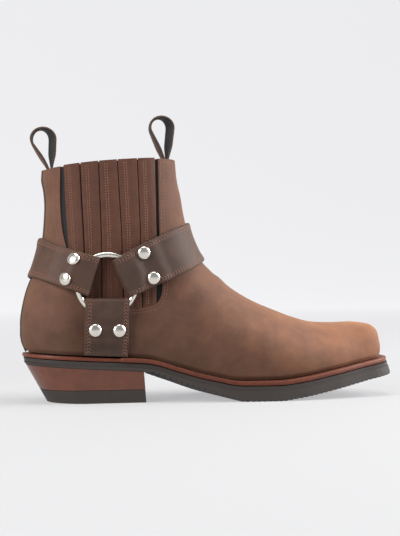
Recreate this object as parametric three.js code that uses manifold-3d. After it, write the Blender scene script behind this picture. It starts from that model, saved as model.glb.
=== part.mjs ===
import * as THREE from 'three';
import { mergeVertices } from 'three/addons/utils/BufferGeometryUtils.js';
import Module from 'manifold-3d';

// A right harness boot, in millimetres, +X to the toe, +Z up, outer side towards -Y

// Driving dimensions of the last
const lastLength = 297;
const ballWidth = 100;
const heelWidth = 65;
const shaftWidth = 77;
const instepRise = 82;
const shaftRise = 80;
const collarArch = 2.6;
const sideBulge = 0.03;
const sideFullness = 2.1;
const toeSquareness = 1.1;

// Driving dimensions of the leather and the gaps
const upperWall = 2.2;
const strapThickness = 2.5;
const foldedLayer = 2.2;
const gap = 0.3;
const curvedGap = 0.6;
const strapGap = 0.6;

// Driving dimensions of the sole
const heelHeight = 29.2;
const toeSpring = 19;
const soleAtHeel = 5.6;
const soleAtBall = 12.2;
const weltThickness = 3.4;
const weltReachHeel = 1.8;
const weltReachFore = 5;
const weltLip = 5.5;
const bandHeight = 3.2;
const bandInset = 0.8;
const toeFlare = 3.4;
const toeFlareTop = 0.8;
const backRake = 2.6;
const insoleThickness = 3;
const ribPitch = 4.3;
const ribDepth = 1.6;
const ribTip = 2.4;

// Driving dimensions of the heel
const heelLength = 82.1;
const heelSlant = 16.6;
const heelForward = 3.4;
const heelTaper = 3.5;
const topLiftThickness = 9.8;

// Driving dimensions of the harness
const ringDiameter = 49;
const ringWire = 4.5;
const ringAlong = 57.8;
const ringHeight = 90;
const ringStandoff = 3.6;
const strapCover = 1.8;
const strapSettle = 4;
const rivetReach = 31;
const rivetDiameter = 10;
const rivetDome = 2.4;
const rivetEdge = 6.3;
const dropRivetInset = 7.5;
const dropStrapWidth = 33.5;
const dropStrapTop = 79.4;
const dropRivetHeight = 55.3;
const pipingWidth = 2.6;
const pipingThickness = 0.9;

// Driving dimensions of the gore and the pull loops
const elasticThickness = 0.75;
const stripThickness = 0.8;
const stripGap = 0.4;
const loopWidth = 16;
const loopStrip = 2;
const loopTail = 12;
const loopSpan = 18.5;
const backLoopHeight = 33;
const frontLoopHeight = 36;
const backLoopLean = 6.5;
const frontLoopLean = 4.5;

const wasm = await Module();
wasm.setup();

const { lerp, smoothstep, clamp } = THREE.MathUtils;

// Sole from back to toe: along is a share of the last, heel and spring lift the underside by shares
// of the heel height and the toe spring, and fore thickens the sole from the heel to the ball
const soleRows = [
  { along: 0.0, heel: 1.0, spring: 0, fore: 0 },
  { along: 0.15, heel: 0.904, spring: 0, fore: 0.03 },
  { along: 0.3, heel: 0.807, spring: 0, fore: 0.1 },
  { along: 0.325, heel: 0.745, spring: 0, fore: 0.17 },
  { along: 0.375, heel: 0.56, spring: 0, fore: 0.29 },
  { along: 0.43, heel: 0.37, spring: 0, fore: 0.4 },
  { along: 0.483, heel: 0.18, spring: 0, fore: 0.68 },
  { along: 0.524, heel: 0.05, spring: 0, fore: 0.87 },
  { along: 0.55, heel: 0, spring: 0, fore: 1 },
  { along: 0.638, heel: 0, spring: 0, fore: 1 },
  { along: 0.702, heel: 0, spring: 0.11, fore: 0.96 },
  { along: 0.806, heel: 0, spring: 0.395, fore: 0.92 },
  { along: 0.87, heel: 0, spring: 0.59, fore: 0.88 },
  { along: 0.938, heel: 0, spring: 0.79, fore: 0.8 },
  { along: 1.02, heel: 0, spring: 1, fore: 0.7 },
];

// Plan of the last: the half width is a sum of shares of half the heel and half the ball width,
// and centre swings the middle line towards the inner side by a share of the ball width
const planRows = [
  { along: 0.0, ofHeel: 0.96, ofBall: 0, centre: 0 },
  { along: 0.12, ofHeel: 1.0, ofBall: 0, centre: 0 },
  { along: 0.25, ofHeel: 0.98, ofBall: 0.01, centre: -0.012 },
  { along: 0.4, ofHeel: 0.7, ofBall: 0.24, centre: -0.03 },
  { along: 0.52, ofHeel: 0.35, ofBall: 0.6, centre: -0.028 },
  { along: 0.62, ofHeel: 0, ofBall: 0.96, centre: -0.01 },
  { along: 0.7, ofHeel: 0, ofBall: 1, centre: 0.01 },
  { along: 0.8, ofHeel: 0, ofBall: 0.935, centre: 0.022 },
  { along: 0.89, ofHeel: 0, ofBall: 0.79, centre: 0.025 },
  { along: 0.98, ofHeel: 0, ofBall: 0.64, centre: 0.025 },
];

// Sections of the last, from the feather line up to the collar. Each has a back and a front point:
// along is a share of the last, foot and shaft are shares of the instep and shaft rise above the seat,
// round is how deep the side rounds in, a share of the ball width. Level turns the section
// from one that follows the seat, 0, into a flat one, 1.
const sections = [
  { backAlong: 0.0125, backFoot: 0, backShaft: 0, backRound: 0.32,
    frontAlong: 0.9795, frontFoot: 0, frontShaft: 0, frontRound: 0.2, level: 0 },
  { backAlong: 0.003, backFoot: 0.085, backShaft: 0, backRound: 0.32,
    frontAlong: 0.981, frontFoot: 0.085, frontShaft: 0, frontRound: 0.2, level: 0 },
  { backAlong: 0.0, backFoot: 0.155, backShaft: 0, backRound: 0.32,
    frontAlong: 0.9765, frontFoot: 0.165, frontShaft: 0, frontRound: 0.2, level: 0 },
  { backAlong: 0.0, backFoot: 0.215, backShaft: 0, backRound: 0.32,
    frontAlong: 0.971, frontFoot: 0.252, frontShaft: 0, frontRound: 0.21, level: 0 },
  { backAlong: 0.0, backFoot: 0.27, backShaft: 0, backRound: 0.32,
    frontAlong: 0.957, frontFoot: 0.318, frontShaft: 0, frontRound: 0.23, level: 0 },
  { backAlong: 0.0015, backFoot: 0.33, backShaft: 0, backRound: 0.32,
    frontAlong: 0.926, frontFoot: 0.354, frontShaft: 0, frontRound: 0.26, level: 0 },
  { backAlong: 0.004, backFoot: 0.39, backShaft: 0, backRound: 0.33,
    frontAlong: 0.865, frontFoot: 0.386, frontShaft: 0, frontRound: 0.31, level: 0 },
  { backAlong: 0.0075, backFoot: 0.455, backShaft: 0, backRound: 0.34,
    frontAlong: 0.796, frontFoot: 0.443, frontShaft: 0, frontRound: 0.37, level: 0 },
  { backAlong: 0.0125, backFoot: 0.53, backShaft: 0, backRound: 0.35,
    frontAlong: 0.7345, frontFoot: 0.538, frontShaft: 0, frontRound: 0.42, level: 0.05 },
  { backAlong: 0.0205, backFoot: 0.62, backShaft: 0, backRound: 0.36,
    frontAlong: 0.6665, frontFoot: 0.661, frontShaft: 0, frontRound: 0.46, level: 0.15 },
  { backAlong: 0.032, backFoot: 0.715, backShaft: 0, backRound: 0.38,
    frontAlong: 0.606, frontFoot: 0.761, frontShaft: 0, frontRound: 0.48, level: 0.3 },
  { backAlong: 0.043, backFoot: 0.825, backShaft: 0, backRound: 0.4,
    frontAlong: 0.557, frontFoot: 0.867, frontShaft: 0, frontRound: 0.48, level: 0.5 },
  { backAlong: 0.0522, backFoot: 0.94, backShaft: 0, backRound: 0.42,
    frontAlong: 0.519, frontFoot: 0.973, frontShaft: 0, frontRound: 0.46, level: 0.7 },
  { backAlong: 0.057, backFoot: 1, backShaft: 0.034, backRound: 0.43,
    frontAlong: 0.4885, frontFoot: 1, frontShaft: 0.045, frontRound: 0.44, level: 0.85 },
  { backAlong: 0.0606, backFoot: 1, backShaft: 0.133, backRound: 0.43,
    frontAlong: 0.462, frontFoot: 1, frontShaft: 0.16, frontRound: 0.42, level: 1 },
  { backAlong: 0.063, backFoot: 1, backShaft: 0.26, backRound: 0.43,
    frontAlong: 0.4405, frontFoot: 1, frontShaft: 0.33, frontRound: 0.41, level: 1 },
  { backAlong: 0.064, backFoot: 1, backShaft: 0.37, backRound: 0.43,
    frontAlong: 0.4285, frontFoot: 1, frontShaft: 0.49, frontRound: 0.41, level: 1 },
  { backAlong: 0.0615, backFoot: 1, backShaft: 0.5, backRound: 0.43,
    frontAlong: 0.4205, frontFoot: 1, frontShaft: 0.65, frontRound: 0.41, level: 1 },
  { backAlong: 0.0555, backFoot: 1, backShaft: 0.62, backRound: 0.43,
    frontAlong: 0.4105, frontFoot: 1, frontShaft: 0.8, frontRound: 0.41, level: 1 },
  { backAlong: 0.0569, backFoot: 1, backShaft: 0.7075, backRound: 0.43,
    frontAlong: 0.4055, frontFoot: 1, frontShaft: 0.97, frontRound: 0.41, level: 1 },
].map((row, step) => ({ step, ...row }));

// A smooth curve through one column of a table that never swings past its rows
function curveThrough(rows, by, name) {
  const at = rows.map((row) => row[by]);
  const value = rows.map((row) => row[name]);
  const rise = at.slice(1).map((next, i) => (value[i + 1] - value[i]) / (next - at[i]));
  const tangent = at.map((unused, i) => {
    const before = rise[Math.max(i - 1, 0)];
    const after = rise[Math.min(i, rise.length - 1)];
    return before * after > 0 ? (2 * before * after) / (before + after) : 0;
  });
  return (where) => {
    const place = clamp(where, at[0], at[at.length - 1]);
    let i = 0;
    while (i < rise.length - 1 && place > at[i + 1]) i += 1;
    const width = at[i + 1] - at[i];
    const t = (place - at[i]) / width;
    const hump = t * t * (3 - 2 * t);
    const startPull = t * (1 - t) * (1 - t) * width * tangent[i];
    const endPull = t * t * (t - 1) * width * tangent[i + 1];
    return lerp(value[i], value[i + 1], hump) + startPull + endPull;
  };
}

const heelAt = curveThrough(soleRows, 'along', 'heel');
const springAt = curveThrough(soleRows, 'along', 'spring');
const foreAt = curveThrough(soleRows, 'along', 'fore');

// Height of the sole's underside, before its ribs are cut, and of the seat on the welt's top
function underside(x) {
  return heelAt(x / lastLength) * heelHeight + springAt(x / lastLength) * toeSpring;
}

function weltUnderside(x) {
  return underside(x) + lerp(soleAtHeel, soleAtBall, foreAt(x / lastLength));
}

function seat(x) {
  return weltUnderside(x) + weltThickness;
}

// Back and front point of the section at a step, which need not be a whole number
const column = {};
for (const name of Object.keys(sections[0])) {
  column[name] = curveThrough(sections, 'step', name);
}
const lastStep = sections.length - 1;

function sectionEnd(step, end) {
  const x = column[`${end}Along`](step) * lastLength;
  const rise = column[`${end}Foot`](step) * instepRise + column[`${end}Shaft`](step) * shaftRise;
  return { x, rise, z: seat(x) + curvedGap + rise, round: column[`${end}Round`](step) * ballWidth };
}

// The side profile as short pieces, run on straight past the collar and under the sole,
// so that the sides round in evenly right to their ends
function profilePieces(end) {
  const piecesPerStep = 8;
  const runOn = ballWidth;
  const points = [];
  for (let i = 0; i <= lastStep * piecesPerStep; i += 1) {
    points.push(sectionEnd(i / piecesPerStep, end));
  }
  const bottom = points[0];
  const top = points[points.length - 1];
  points.unshift({ x: bottom.x, z: bottom.z - runOn, round: bottom.round });
  points.push({ x: top.x, z: top.z + runOn, round: top.round });
  return points.slice(1).map((next, i) => {
    const from = points[i];
    const length = Math.hypot(next.x - from.x, next.z - from.z);
    return {
      x: from.x,
      z: from.z,
      alongX: (next.x - from.x) / length,
      alongZ: (next.z - from.z) / length,
      length,
      round: (from.round + next.round) / 2,
    };
  });
}

const profile = [...profilePieces('back'), ...profilePieces('front')];

// How deep a place lies inside the side profile, as a share of the rounding there: a smooth
// average of the distances to all pieces in which the nearest counts most
function depthInside(x, z) {
  const nearest = 1e-4;
  const farAway = 30;
  const share = (l, away) => {
    const squared = away ** 2;
    return l / (2 * squared * (squared + l * l)) + Math.atan(l / away) / (2 * away ** 3);
  };
  let sum = 0;
  for (const piece of profile) {
    const start = (piece.x - x) * piece.alongX + (piece.z - z) * piece.alongZ;
    const end = start + piece.length;
    const off = Math.abs((piece.x - x) * piece.alongZ - (piece.z - z) * piece.alongX);
    const away = Math.max(off, nearest);
    let weight;
    if (start * end > 0 && Math.min(Math.abs(start), Math.abs(end)) > farAway * away) {
      weight = (1 / start ** 3 - 1 / end ** 3) / 3;
    } else {
      weight = share(end, away) - share(start, away);
    }
    sum += piece.round ** 3 * Math.abs(weight);
  }
  return ((2 / Math.PI) * sum) ** (-1 / 3);
}

const ofHeelAt = curveThrough(planRows, 'along', 'ofHeel');
const ofBallAt = curveThrough(planRows, 'along', 'ofBall');
const centreAt = curveThrough(planRows, 'along', 'centre');

// Shares of the instep and shaft rise between which the foot's width turns into the shaft's and below
// which the sides bulge, and the shares of the last between which the toe turns square
const shaftStart = 0.45;
const shaftEnd = 0.25;
const bulgeTop = 0.6;
const squareFrom = 0.88;
const squareTo = 0.98;

// Middle line and half width of the last at a place in the side view
function sideWidth(x, z) {
  const along = x / lastLength;
  const rise = z - seat(x);
  const toShaft = smoothstep(rise, shaftStart * instepRise, instepRise + shaftEnd * shaftRise);
  const bulge = 1 + sideBulge * Math.sin(Math.PI * clamp(rise / (bulgeTop * instepRise), 0, 1));
  const foot = (ofHeelAt(along) * heelWidth + ofBallAt(along) * ballWidth) / 2;
  const widest = lerp(foot * bulge, shaftWidth / 2, toShaft);
  const power = sideFullness + toeSquareness * smoothstep(along, squareFrom, squareTo);
  const depth = Math.min(depthInside(x, z), 1);
  return {
    middle: centreAt(along) * ballWidth * (1 - toShaft),
    half: widest * (1 - (1 - depth) ** power) ** (1 / power),
  };
}

// A point of the last on one side, -1 the outer and 1 the inner one
function sidePoint(x, z, side) {
  const width = sideWidth(x, z);
  return new THREE.Vector3(x, width.middle + side * width.half, z);
}

// How far the collar and the sections just under it arch up between back, 0, and front, 1
function archAt(step, share) {
  const archedSteps = 4;
  const fullness = 0.6;
  const near = smoothstep(step, lastStep - archedSteps, lastStep);
  return collarArch * near * Math.max(4 * share * (1 - share), 0) ** fullness;
}

// A point of the last on the section at a step: turn goes from the back, 0, along the outer side
// to the front, 0.5, and back along the inner side
function lastPoint(step, turn) {
  const back = sectionEnd(step, 'back');
  const front = sectionEnd(step, 'front');
  const share = (1 - Math.cos(2 * Math.PI * turn)) / 2;
  const x = lerp(back.x, front.x, share);
  const followed = seat(x) + curvedGap + lerp(back.rise, front.rise, share);
  const level = lerp(followed, lerp(back.z, front.z, share), column.level(step));
  const z = level + archAt(step, share);
  if (turn % 0.5 === 0) return new THREE.Vector3(x, sideWidth(x, z).middle, z);
  return sidePoint(x, z, turn > 0.5 ? 1 : -1);
}

// Point and outward normal of a sheet at u and v, found from its neighbours
function sheetFrame(pointAt, u, v, uRange, vRange) {
  const nudge = 0.002;
  const uStep = nudge * (uRange[1] - uRange[0]);
  const vStep = nudge * (vRange[1] - vRange[0]);
  const before = pointAt(Math.max(u - uStep, uRange[0]), v);
  const after = pointAt(Math.min(u + uStep, uRange[1]), v);
  const below = pointAt(u, Math.max(v - vStep, vRange[0]));
  const above = pointAt(u, Math.min(v + vStep, vRange[1]));
  const normal = after.sub(before).cross(above.sub(below)).normalize();
  return { point: pointAt(u, v), normal };
}

// The last's surface, moved out by an offset, with the turn free to run past a full round
function shellPoint(step, turn, offset) {
  const around = (u, v) => lastPoint(v, u - Math.floor(u));
  const { point, normal } = sheetFrame(around, turn, step, [-1, 2], [0, lastStep]);
  return point.addScaledVector(normal, offset);
}

// Closed body from points and triangles, turned so that its faces point out
function closedGeometry(points, triangles) {
  let volume = 0;
  for (const [a, b, c] of triangles) {
    volume += points[a].dot(points[b].clone().cross(points[c]));
  }
  const faces = volume > 0 ? triangles : triangles.map(([a, b, c]) => [a, c, b]);
  const geometry = new THREE.BufferGeometry();
  const positions = points.flatMap((p) => p.toArray());
  geometry.setAttribute('position', new THREE.Float32BufferAttribute(positions, 3));
  geometry.setIndex(faces.flat());
  return geometry;
}

// A sheet with thickness: rows of outer and inner points, closed round its edges.
// With round set, each row closes on itself and only the first and last row have edges.
function thickSheet(outer, inner, round) {
  const rows = outer.length;
  const count = outer[0].length;
  const points = [...outer.flat(), ...inner.flat()];
  const innerStart = rows * count;
  const triangles = [];
  const quad = (a, b, c, d) => triangles.push([a, b, c], [a, c, d]);
  const across = round ? count : count - 1;
  for (let i = 0; i < rows - 1; i += 1) {
    for (let j = 0; j < across; j += 1) {
      const next = (j + 1) % count;
      const a = i * count + j;
      const b = i * count + next;
      const c = (i + 1) * count + next;
      const d = (i + 1) * count + j;
      quad(a, b, c, d);
      quad(innerStart + d, innerStart + c, innerStart + b, innerStart + a);
    }
  }
  for (let j = 0; j < across; j += 1) {
    const next = (j + 1) % count;
    const top = (rows - 1) * count;
    quad(next, j, innerStart + j, innerStart + next);
    quad(top + j, top + next, innerStart + top + next, innerStart + top + j);
  }
  if (!round) {
    for (let i = 0; i < rows - 1; i += 1) {
      const a = i * count;
      const b = (i + 1) * count;
      quad(a, b, innerStart + b, innerStart + a);
      quad(b + count - 1, a + count - 1, innerStart + a + count - 1, innerStart + b + count - 1);
    }
  }
  return closedGeometry(points, triangles);
}

// Conversions between three.js meshes and solids that can be joined and cut
function toSolid(geometry) {
  const bare = geometry.clone();
  bare.deleteAttribute('normal');
  bare.deleteAttribute('uv');
  const merged = mergeVertices(bare, 1e-4);
  return new wasm.Manifold(new wasm.Mesh({
    numProp: 3,
    vertProperties: new Float32Array(merged.attributes.position.array),
    triVerts: new Uint32Array(merged.index.array),
  }));
}

function toGeometry(solid) {
  const mesh = solid.getMesh();
  const geometry = new THREE.BufferGeometry();
  geometry.setAttribute('position', new THREE.Float32BufferAttribute(mesh.vertProperties, 3));
  geometry.setIndex(Array.from(mesh.triVerts));
  return geometry;
}

// An outline in the side view, drawn with X and Z, as a prism from one Y to another
function sidePrism(outline, fromY, toY) {
  const shape = new THREE.Shape(outline);
  const geometry = new THREE.ExtrudeGeometry(shape, { depth: toY - fromY, bevelEnabled: false });
  geometry.rotateX(Math.PI / 2);
  geometry.translate(0, toY, 0);
  return toSolid(geometry);
}

// An outline in plan as a prism from one height to another
function planPrism(outline, fromZ, toZ) {
  const shape = new THREE.Shape(outline);
  const geometry = new THREE.ExtrudeGeometry(shape, { depth: toZ - fromZ, bevelEnabled: false });
  geometry.translate(0, 0, fromZ);
  return toSolid(geometry);
}

const colours = {
  leather: 0x6a4a3c,
  strap: 0x54402f,
  strip: 0x5c3c31,
  welt: 0x7a4636,
  heel: 0x6e3a2b,
  rubber: 0x3c3735,
  black: 0x14110f,
  nickel: 0xc9c6c0,
};

function material(colour, roughness, metalness) {
  return new THREE.MeshStandardMaterial({ color: colour, roughness, metalness });
}

const leather = material(colours.leather, 0.8, 0);
const strapLeather = material(colours.strap, 0.75, 0);
const stripLeather = material(colours.strip, 0.8, 0);
const weltLeather = material(colours.welt, 0.6, 0);
const heelLeather = material(colours.heel, 0.45, 0);
const rubber = material(colours.rubber, 0.85, 0);
const black = material(colours.black, 0.9, 0);
const nickel = material(colours.nickel, 0.25, 1);

const boot = new THREE.Group();

function addPiece(name, geometry, finish) {
  const mesh = new THREE.Mesh(geometry, finish);
  mesh.name = name;
  boot.add(mesh);
}

// Moves each point of a closed line outwards by a size that may follow its place
function growLine(line, growAt) {
  const area = line.reduce((sum, p, i) => sum + p.cross(line[(i + 1) % line.length]), 0);
  const turned = Math.sign(area);
  return line.map((point, i) => {
    const before = line[(i + line.length - 1) % line.length];
    const after = line[(i + 1) % line.length];
    const out = new THREE.Vector2(after.y - before.y, before.x - after.x).normalize();
    return point.clone().addScaledVector(out, turned * growAt(point.x));
  });
}

// Feather line in plan, grown outwards by a size that may follow the length
const outlineCount = 64;

function featherOutline(growAt) {
  const line = [];
  for (let i = 0; i < outlineCount; i += 1) {
    const point = lastPoint(0, i / outlineCount);
    line.push(new THREE.Vector2(point.x, point.y));
  }
  return growLine(line, growAt);
}

// Shares of the last between which the welt widens, the toe flares out and the heel end is raked
const widerFrom = 0.25;
const widerTo = 0.6;
const toeFlareFrom = 0.9;
const rakeFrom = 0.01;
const rakeTo = 0.12;

function weltReach(x) {
  return lerp(weltReachHeel, weltReachFore, smoothstep(x / lastLength, widerFrom, widerTo));
}

// How far the rubber's lower edge stands out from the welt's line: forwards at the toe, and back in
// at the heel. The same for its upper edge, which follows the welt but for the toe.
function lowerFlare(x) {
  const toToe = smoothstep(x / lastLength, toeFlareFrom, squareTo);
  const atHeel = 1 - smoothstep(x / lastLength, rakeFrom, rakeTo);
  return toeFlare * toToe - backRake * atHeel;
}

function upperFlare(x) {
  return toeFlareTop * smoothstep(x / lastLength, toeFlareFrom, squareTo);
}

// A slab between a low and a high outline, both grown from the feather line
function slab(lowGrow, highGrow, lowAt, highAt) {
  const half = outlineCount / 2;
  const rungsOf = (growAt, heightAt) => {
    const outline = featherOutline(growAt);
    const rungs = [[outline[0], outline[0]]];
    for (let i = 1; i < half; i += 1) rungs.push([outline[i], outline[outlineCount - i]]);
    rungs.push([outline[half], outline[half]]);
    return rungs.map((rung) => rung.map((p) => new THREE.Vector3(p.x, p.y, heightAt(p.x))));
  };
  return toSolid(thickSheet(rungsOf(highGrow, highAt), rungsOf(lowGrow, lowAt), false));
}

const soleOutline = featherOutline(weltReach);
const lowerOutline = featherOutline((x) => weltReach(x) + lowerFlare(x));
const weltInside = featherOutline(() => -weltLip);

// Welt: a strip round the whole seat
{
  const ring = (outline, heightAt) => outline.map((p) => new THREE.Vector3(p.x, p.y, heightAt(p.x)));
  const loops = [
    ring(weltInside, seat),
    ring(soleOutline, seat),
  ];
  const under = [
    ring(weltInside, weltUnderside),
    ring(soleOutline, weltUnderside),
  ];
  addPiece('welt', thickSheet(loops, under, true), weltLeather);
}

// Outsole: the ribbed side profile, cut to the plan with a stepped edge, and a middle that fills the welt
const soleBack = Math.min(...lowerOutline.map((p) => p.x));
const soleFront = Math.max(...lowerOutline.map((p) => p.x));
const heelBreast = soleBack + heelLength;

{
  const profileStep = lastLength / 44;
  const margin = 10;
  const bandShare = 0.6;
  const xBack = soleBack - margin;
  const xFront = soleFront + margin;
  const sideY = ballWidth;
  const stations = [];
  for (let x = xBack; x < xFront; x += profileStep) stations.push(x);
  stations.push(xFront);
  const at = (x, z) => new THREE.Vector2(x, z);
  const line = (heightAt) => stations.map((x) => at(x, heightAt(x)));
  const band = (under, over) => [...under, ...over.reverse()];
  const ribbed = stations.filter((x) => x < heelBreast + ribPitch).map((x) => at(x, underside(x)));
  for (let x = heelBreast + ribPitch; x < xFront; x += ribPitch) {
    const valley = x + (ribTip + ribPitch) / 2;
    ribbed.push(at(x, underside(x)));
    ribbed.push(at(x + ribTip, underside(x + ribTip)));
    ribbed.push(at(valley, underside(valley) + ribDepth));
  }
  const bandBottom = (x) => weltUnderside(x) - curvedGap - bandHeight;
  const bandTop = (x) => weltUnderside(x) - curvedGap;
  const lowReach = (x) => weltReach(x) + lowerFlare(x);
  const highReach = (x) => weltReach(x) + upperFlare(x);
  const bandReach = (x) => lerp(lowReach(x), highReach(x), bandShare);
  const insetAt = (x) => bandInset * (1 - smoothstep(x / lastLength, toeFlareFrom, squareTo));
  const overlap = 0.5;
  const lower = slab(lowReach, bandReach, (x) => underside(x) - overlap, (x) => bandBottom(x) + overlap);
  const upper = slab(
    (x) => bandReach(x) - insetAt(x),
    (x) => highReach(x) - insetAt(x),
    (x) => bandBottom(x) - 2 * overlap,
    (x) => bandTop(x) + overlap,
  );
  const middle = planPrism(featherOutline(() => -weltLip - gap), -margin, heelHeight * 2);
  const between = (under, over) => sidePrism(band(under, line(over)), -sideY, sideY);
  const tread = between(ribbed, bandBottom).intersect(lower);
  const edge = between(line((x) => bandBottom(x) - overlap), bandTop).intersect(upper);
  const filling = between(line((x) => bandTop(x) - overlap), seat).intersect(middle);
  const outsole = tread.add(edge).add(filling);
  addPiece('outsole', toGeometry(outsole), rubber);
}

// Heel: the sole's own outline behind the breast, drawn in towards the ground
function heelLoop(z) {
  const topBack = underside(soleBack);
  const fall = (topBack - z) / topBack;
  const breast = heelBreast + heelForward * fall;
  const length = breast - soleBack - heelSlant * fall;
  const narrow = 1 - (2 * heelTaper * fall) / heelWidth;
  const clearOfBreast = 1;
  const behind = lowerOutline.filter((p) => p.x < heelBreast - clearOfBreast);
  const bearing = (p) => Math.atan2(p.y, heelBreast - p.x);
  const order = behind.sort((a, b) => bearing(a) - bearing(b));
  const first = order[0];
  const last = order[order.length - 1];
  const corners = [new THREE.Vector2(heelBreast, first.y), ...order, new THREE.Vector2(heelBreast, last.y)];
  return corners.map((p) => new THREE.Vector3(
    breast - ((heelBreast - p.x) * length) / (heelBreast - soleBack),
    p.y * narrow,
    z,
  ));
}

function heelBlock(bottom, topAt) {
  const low = heelLoop(bottom);
  const high = heelLoop(underside(soleBack)).map((p, i) => {
    const height = topAt(p.x);
    const full = underside(soleBack) - bottom;
    const share = (height - bottom) / full;
    return new THREE.Vector3(lerp(low[i].x, p.x, share), lerp(low[i].y, p.y, share), height);
  });
  const count = low.length;
  const middle = (loop) => loop.reduce((sum, p) => sum.add(p), new THREE.Vector3()).divideScalar(count);
  const points = [...low, ...high, middle(low), middle(high)];
  const triangles = [];
  for (let i = 0; i < count; i += 1) {
    const next = (i + 1) % count;
    triangles.push([i, next, count + next], [i, count + next, count + i]);
    triangles.push([next, i, 2 * count], [count + i, count + next, 2 * count + 1]);
  }
  return closedGeometry(points, triangles);
}

addPiece('heel_stack', heelBlock(topLiftThickness + gap, (x) => underside(x) - gap), heelLeather);
addPiece('heel_top_lift', heelBlock(0, () => topLiftThickness), rubber);

// Insole: a board that fills the upper's floor
{
  const inset = () => -upperWall - 2 * gap;
  const insole = slab(inset, inset, (x) => seat(x) + gap, (x) => seat(x) + gap + insoleThickness);
  addPiece('insole', toGeometry(insole), leather);
}

// Upper and what is cut from the same surface
const upperLoops = 19;
const upperTurns = 44;

function shell(outerOffset, innerOffset, fromStep, loops, turns) {
  const rows = (offset) => {
    const grid = [];
    for (let i = 0; i <= loops; i += 1) {
      const step = lerp(fromStep, lastStep, i / loops);
      const row = [];
      for (let j = 0; j < turns; j += 1) row.push(shellPoint(step, j / turns, offset));
      grid.push(row);
    }
    return grid;
  };
  return toSolid(thickSheet(rows(outerOffset), rows(innerOffset), true));
}

// A height above the seat as shares of the instep and shaft rise
function heightAbove(x, foot, shaft) {
  return seat(x) + curvedGap + foot * instepRise + shaft * shaftRise;
}

// Window that the gore fills, in the side view, as shares of the last and of its rises
const windowRows = [
  { along: 0.0843, foot: 1, shaft: 1.3 },
  { along: 0.0853, foot: 1, shaft: 0.45 },
  { along: 0.0963, foot: 1, shaft: 0 },
  { along: 0.1353, foot: 0.65, shaft: 0 },
  { along: 0.1783, foot: 0.44, shaft: 0 },
  { along: 0.2433, foot: 0.445, shaft: 0 },
  { along: 0.3013, foot: 0.475, shaft: 0 },
  { along: 0.3353, foot: 0.57, shaft: 0 },
  { along: 0.3413, foot: 0.74, shaft: 0 },
  { along: 0.3353, foot: 1, shaft: 0.1 },
  { along: 0.3333, foot: 1, shaft: 0.7 },
  { along: 0.3333, foot: 1, shaft: 1.3 },
];

function windowOutline(shrink) {
  const corners = windowRows.map(({ along, foot, shaft }) => {
    const x = along * lastLength;
    return new THREE.Vector2(x, heightAbove(x, foot, shaft));
  });
  const smooth = new THREE.SplineCurve(corners).getPoints(2 * corners.length);
  return growLine(smooth, () => -shrink);
}

const sideNames = { lateral: -1, medial: 1 };

function cutToSide(outline, side) {
  const nearMiddle = shaftWidth / 8;
  const beyond = ballWidth;
  return side < 0 ? sidePrism(outline, -beyond, -nearMiddle) : sidePrism(outline, nearMiddle, beyond);
}

// Piping down the back seam, in a groove of the upper that is larger all round by the gap
function pipingBody(grow, proud) {
  const rows = [];
  const count = 22;
  const probe = 0.01;
  for (let i = 0; i <= count; i += 1) {
    const step = (lastStep * i) / count;
    const reach = lastPoint(step, probe).distanceTo(lastPoint(step, 0)) / probe;
    const turn = (pipingWidth / 2 + grow) / reach;
    rows.push([-turn, 0, turn].map((t) => ({ step, t })));
  }
  const runOn = (end, next) => end.map((p, j) => (
    p.clone().addScaledVector(p.clone().sub(next[j]).normalize(), grow)));
  const lay = (offset) => {
    const grid = rows.map((row) => row.map(({ step, t }) => shellPoint(step, t, offset)));
    const last = grid.length - 1;
    return [runOn(grid[0], grid[1]), ...grid.slice(1, -1), runOn(grid[last], grid[last - 1])];
  };
  return toSolid(thickSheet(lay(proud), lay(-pipingThickness - grow), false));
}

// Upper: the hollow shell, with a window on each side and the groove down its back
{
  let upper = shell(0, -upperWall, 0, upperLoops, upperTurns);
  for (const side of Object.values(sideNames)) {
    upper = upper.subtract(cutToSide(windowOutline(0), side));
  }
  upper = upper.subtract(pipingBody(gap, 2 * gap));
  addPiece('upper', toGeometry(upper), leather);
  addPiece('back_piping', toGeometry(pipingBody(0, 0)), black);
}

// Gore: elastic behind, with narrow leather strips side by side on it. The borders between strips
// are given at the collar and at the ankle, as shares of the last.
const stripBorders = [
  { collar: 0.0936, ankle: 0.1043 },
  { collar: 0.1239, ankle: 0.1377 },
  { collar: 0.1707, ankle: 0.1808 },
  { collar: 0.2175, ankle: 0.2343 },
  { collar: 0.2714, ankle: 0.2833 },
  { collar: 0.3233, ankle: 0.3263 },
];
const goreStep = 8;
const goreLoops = 7;
const goreTurns = 38;

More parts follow.
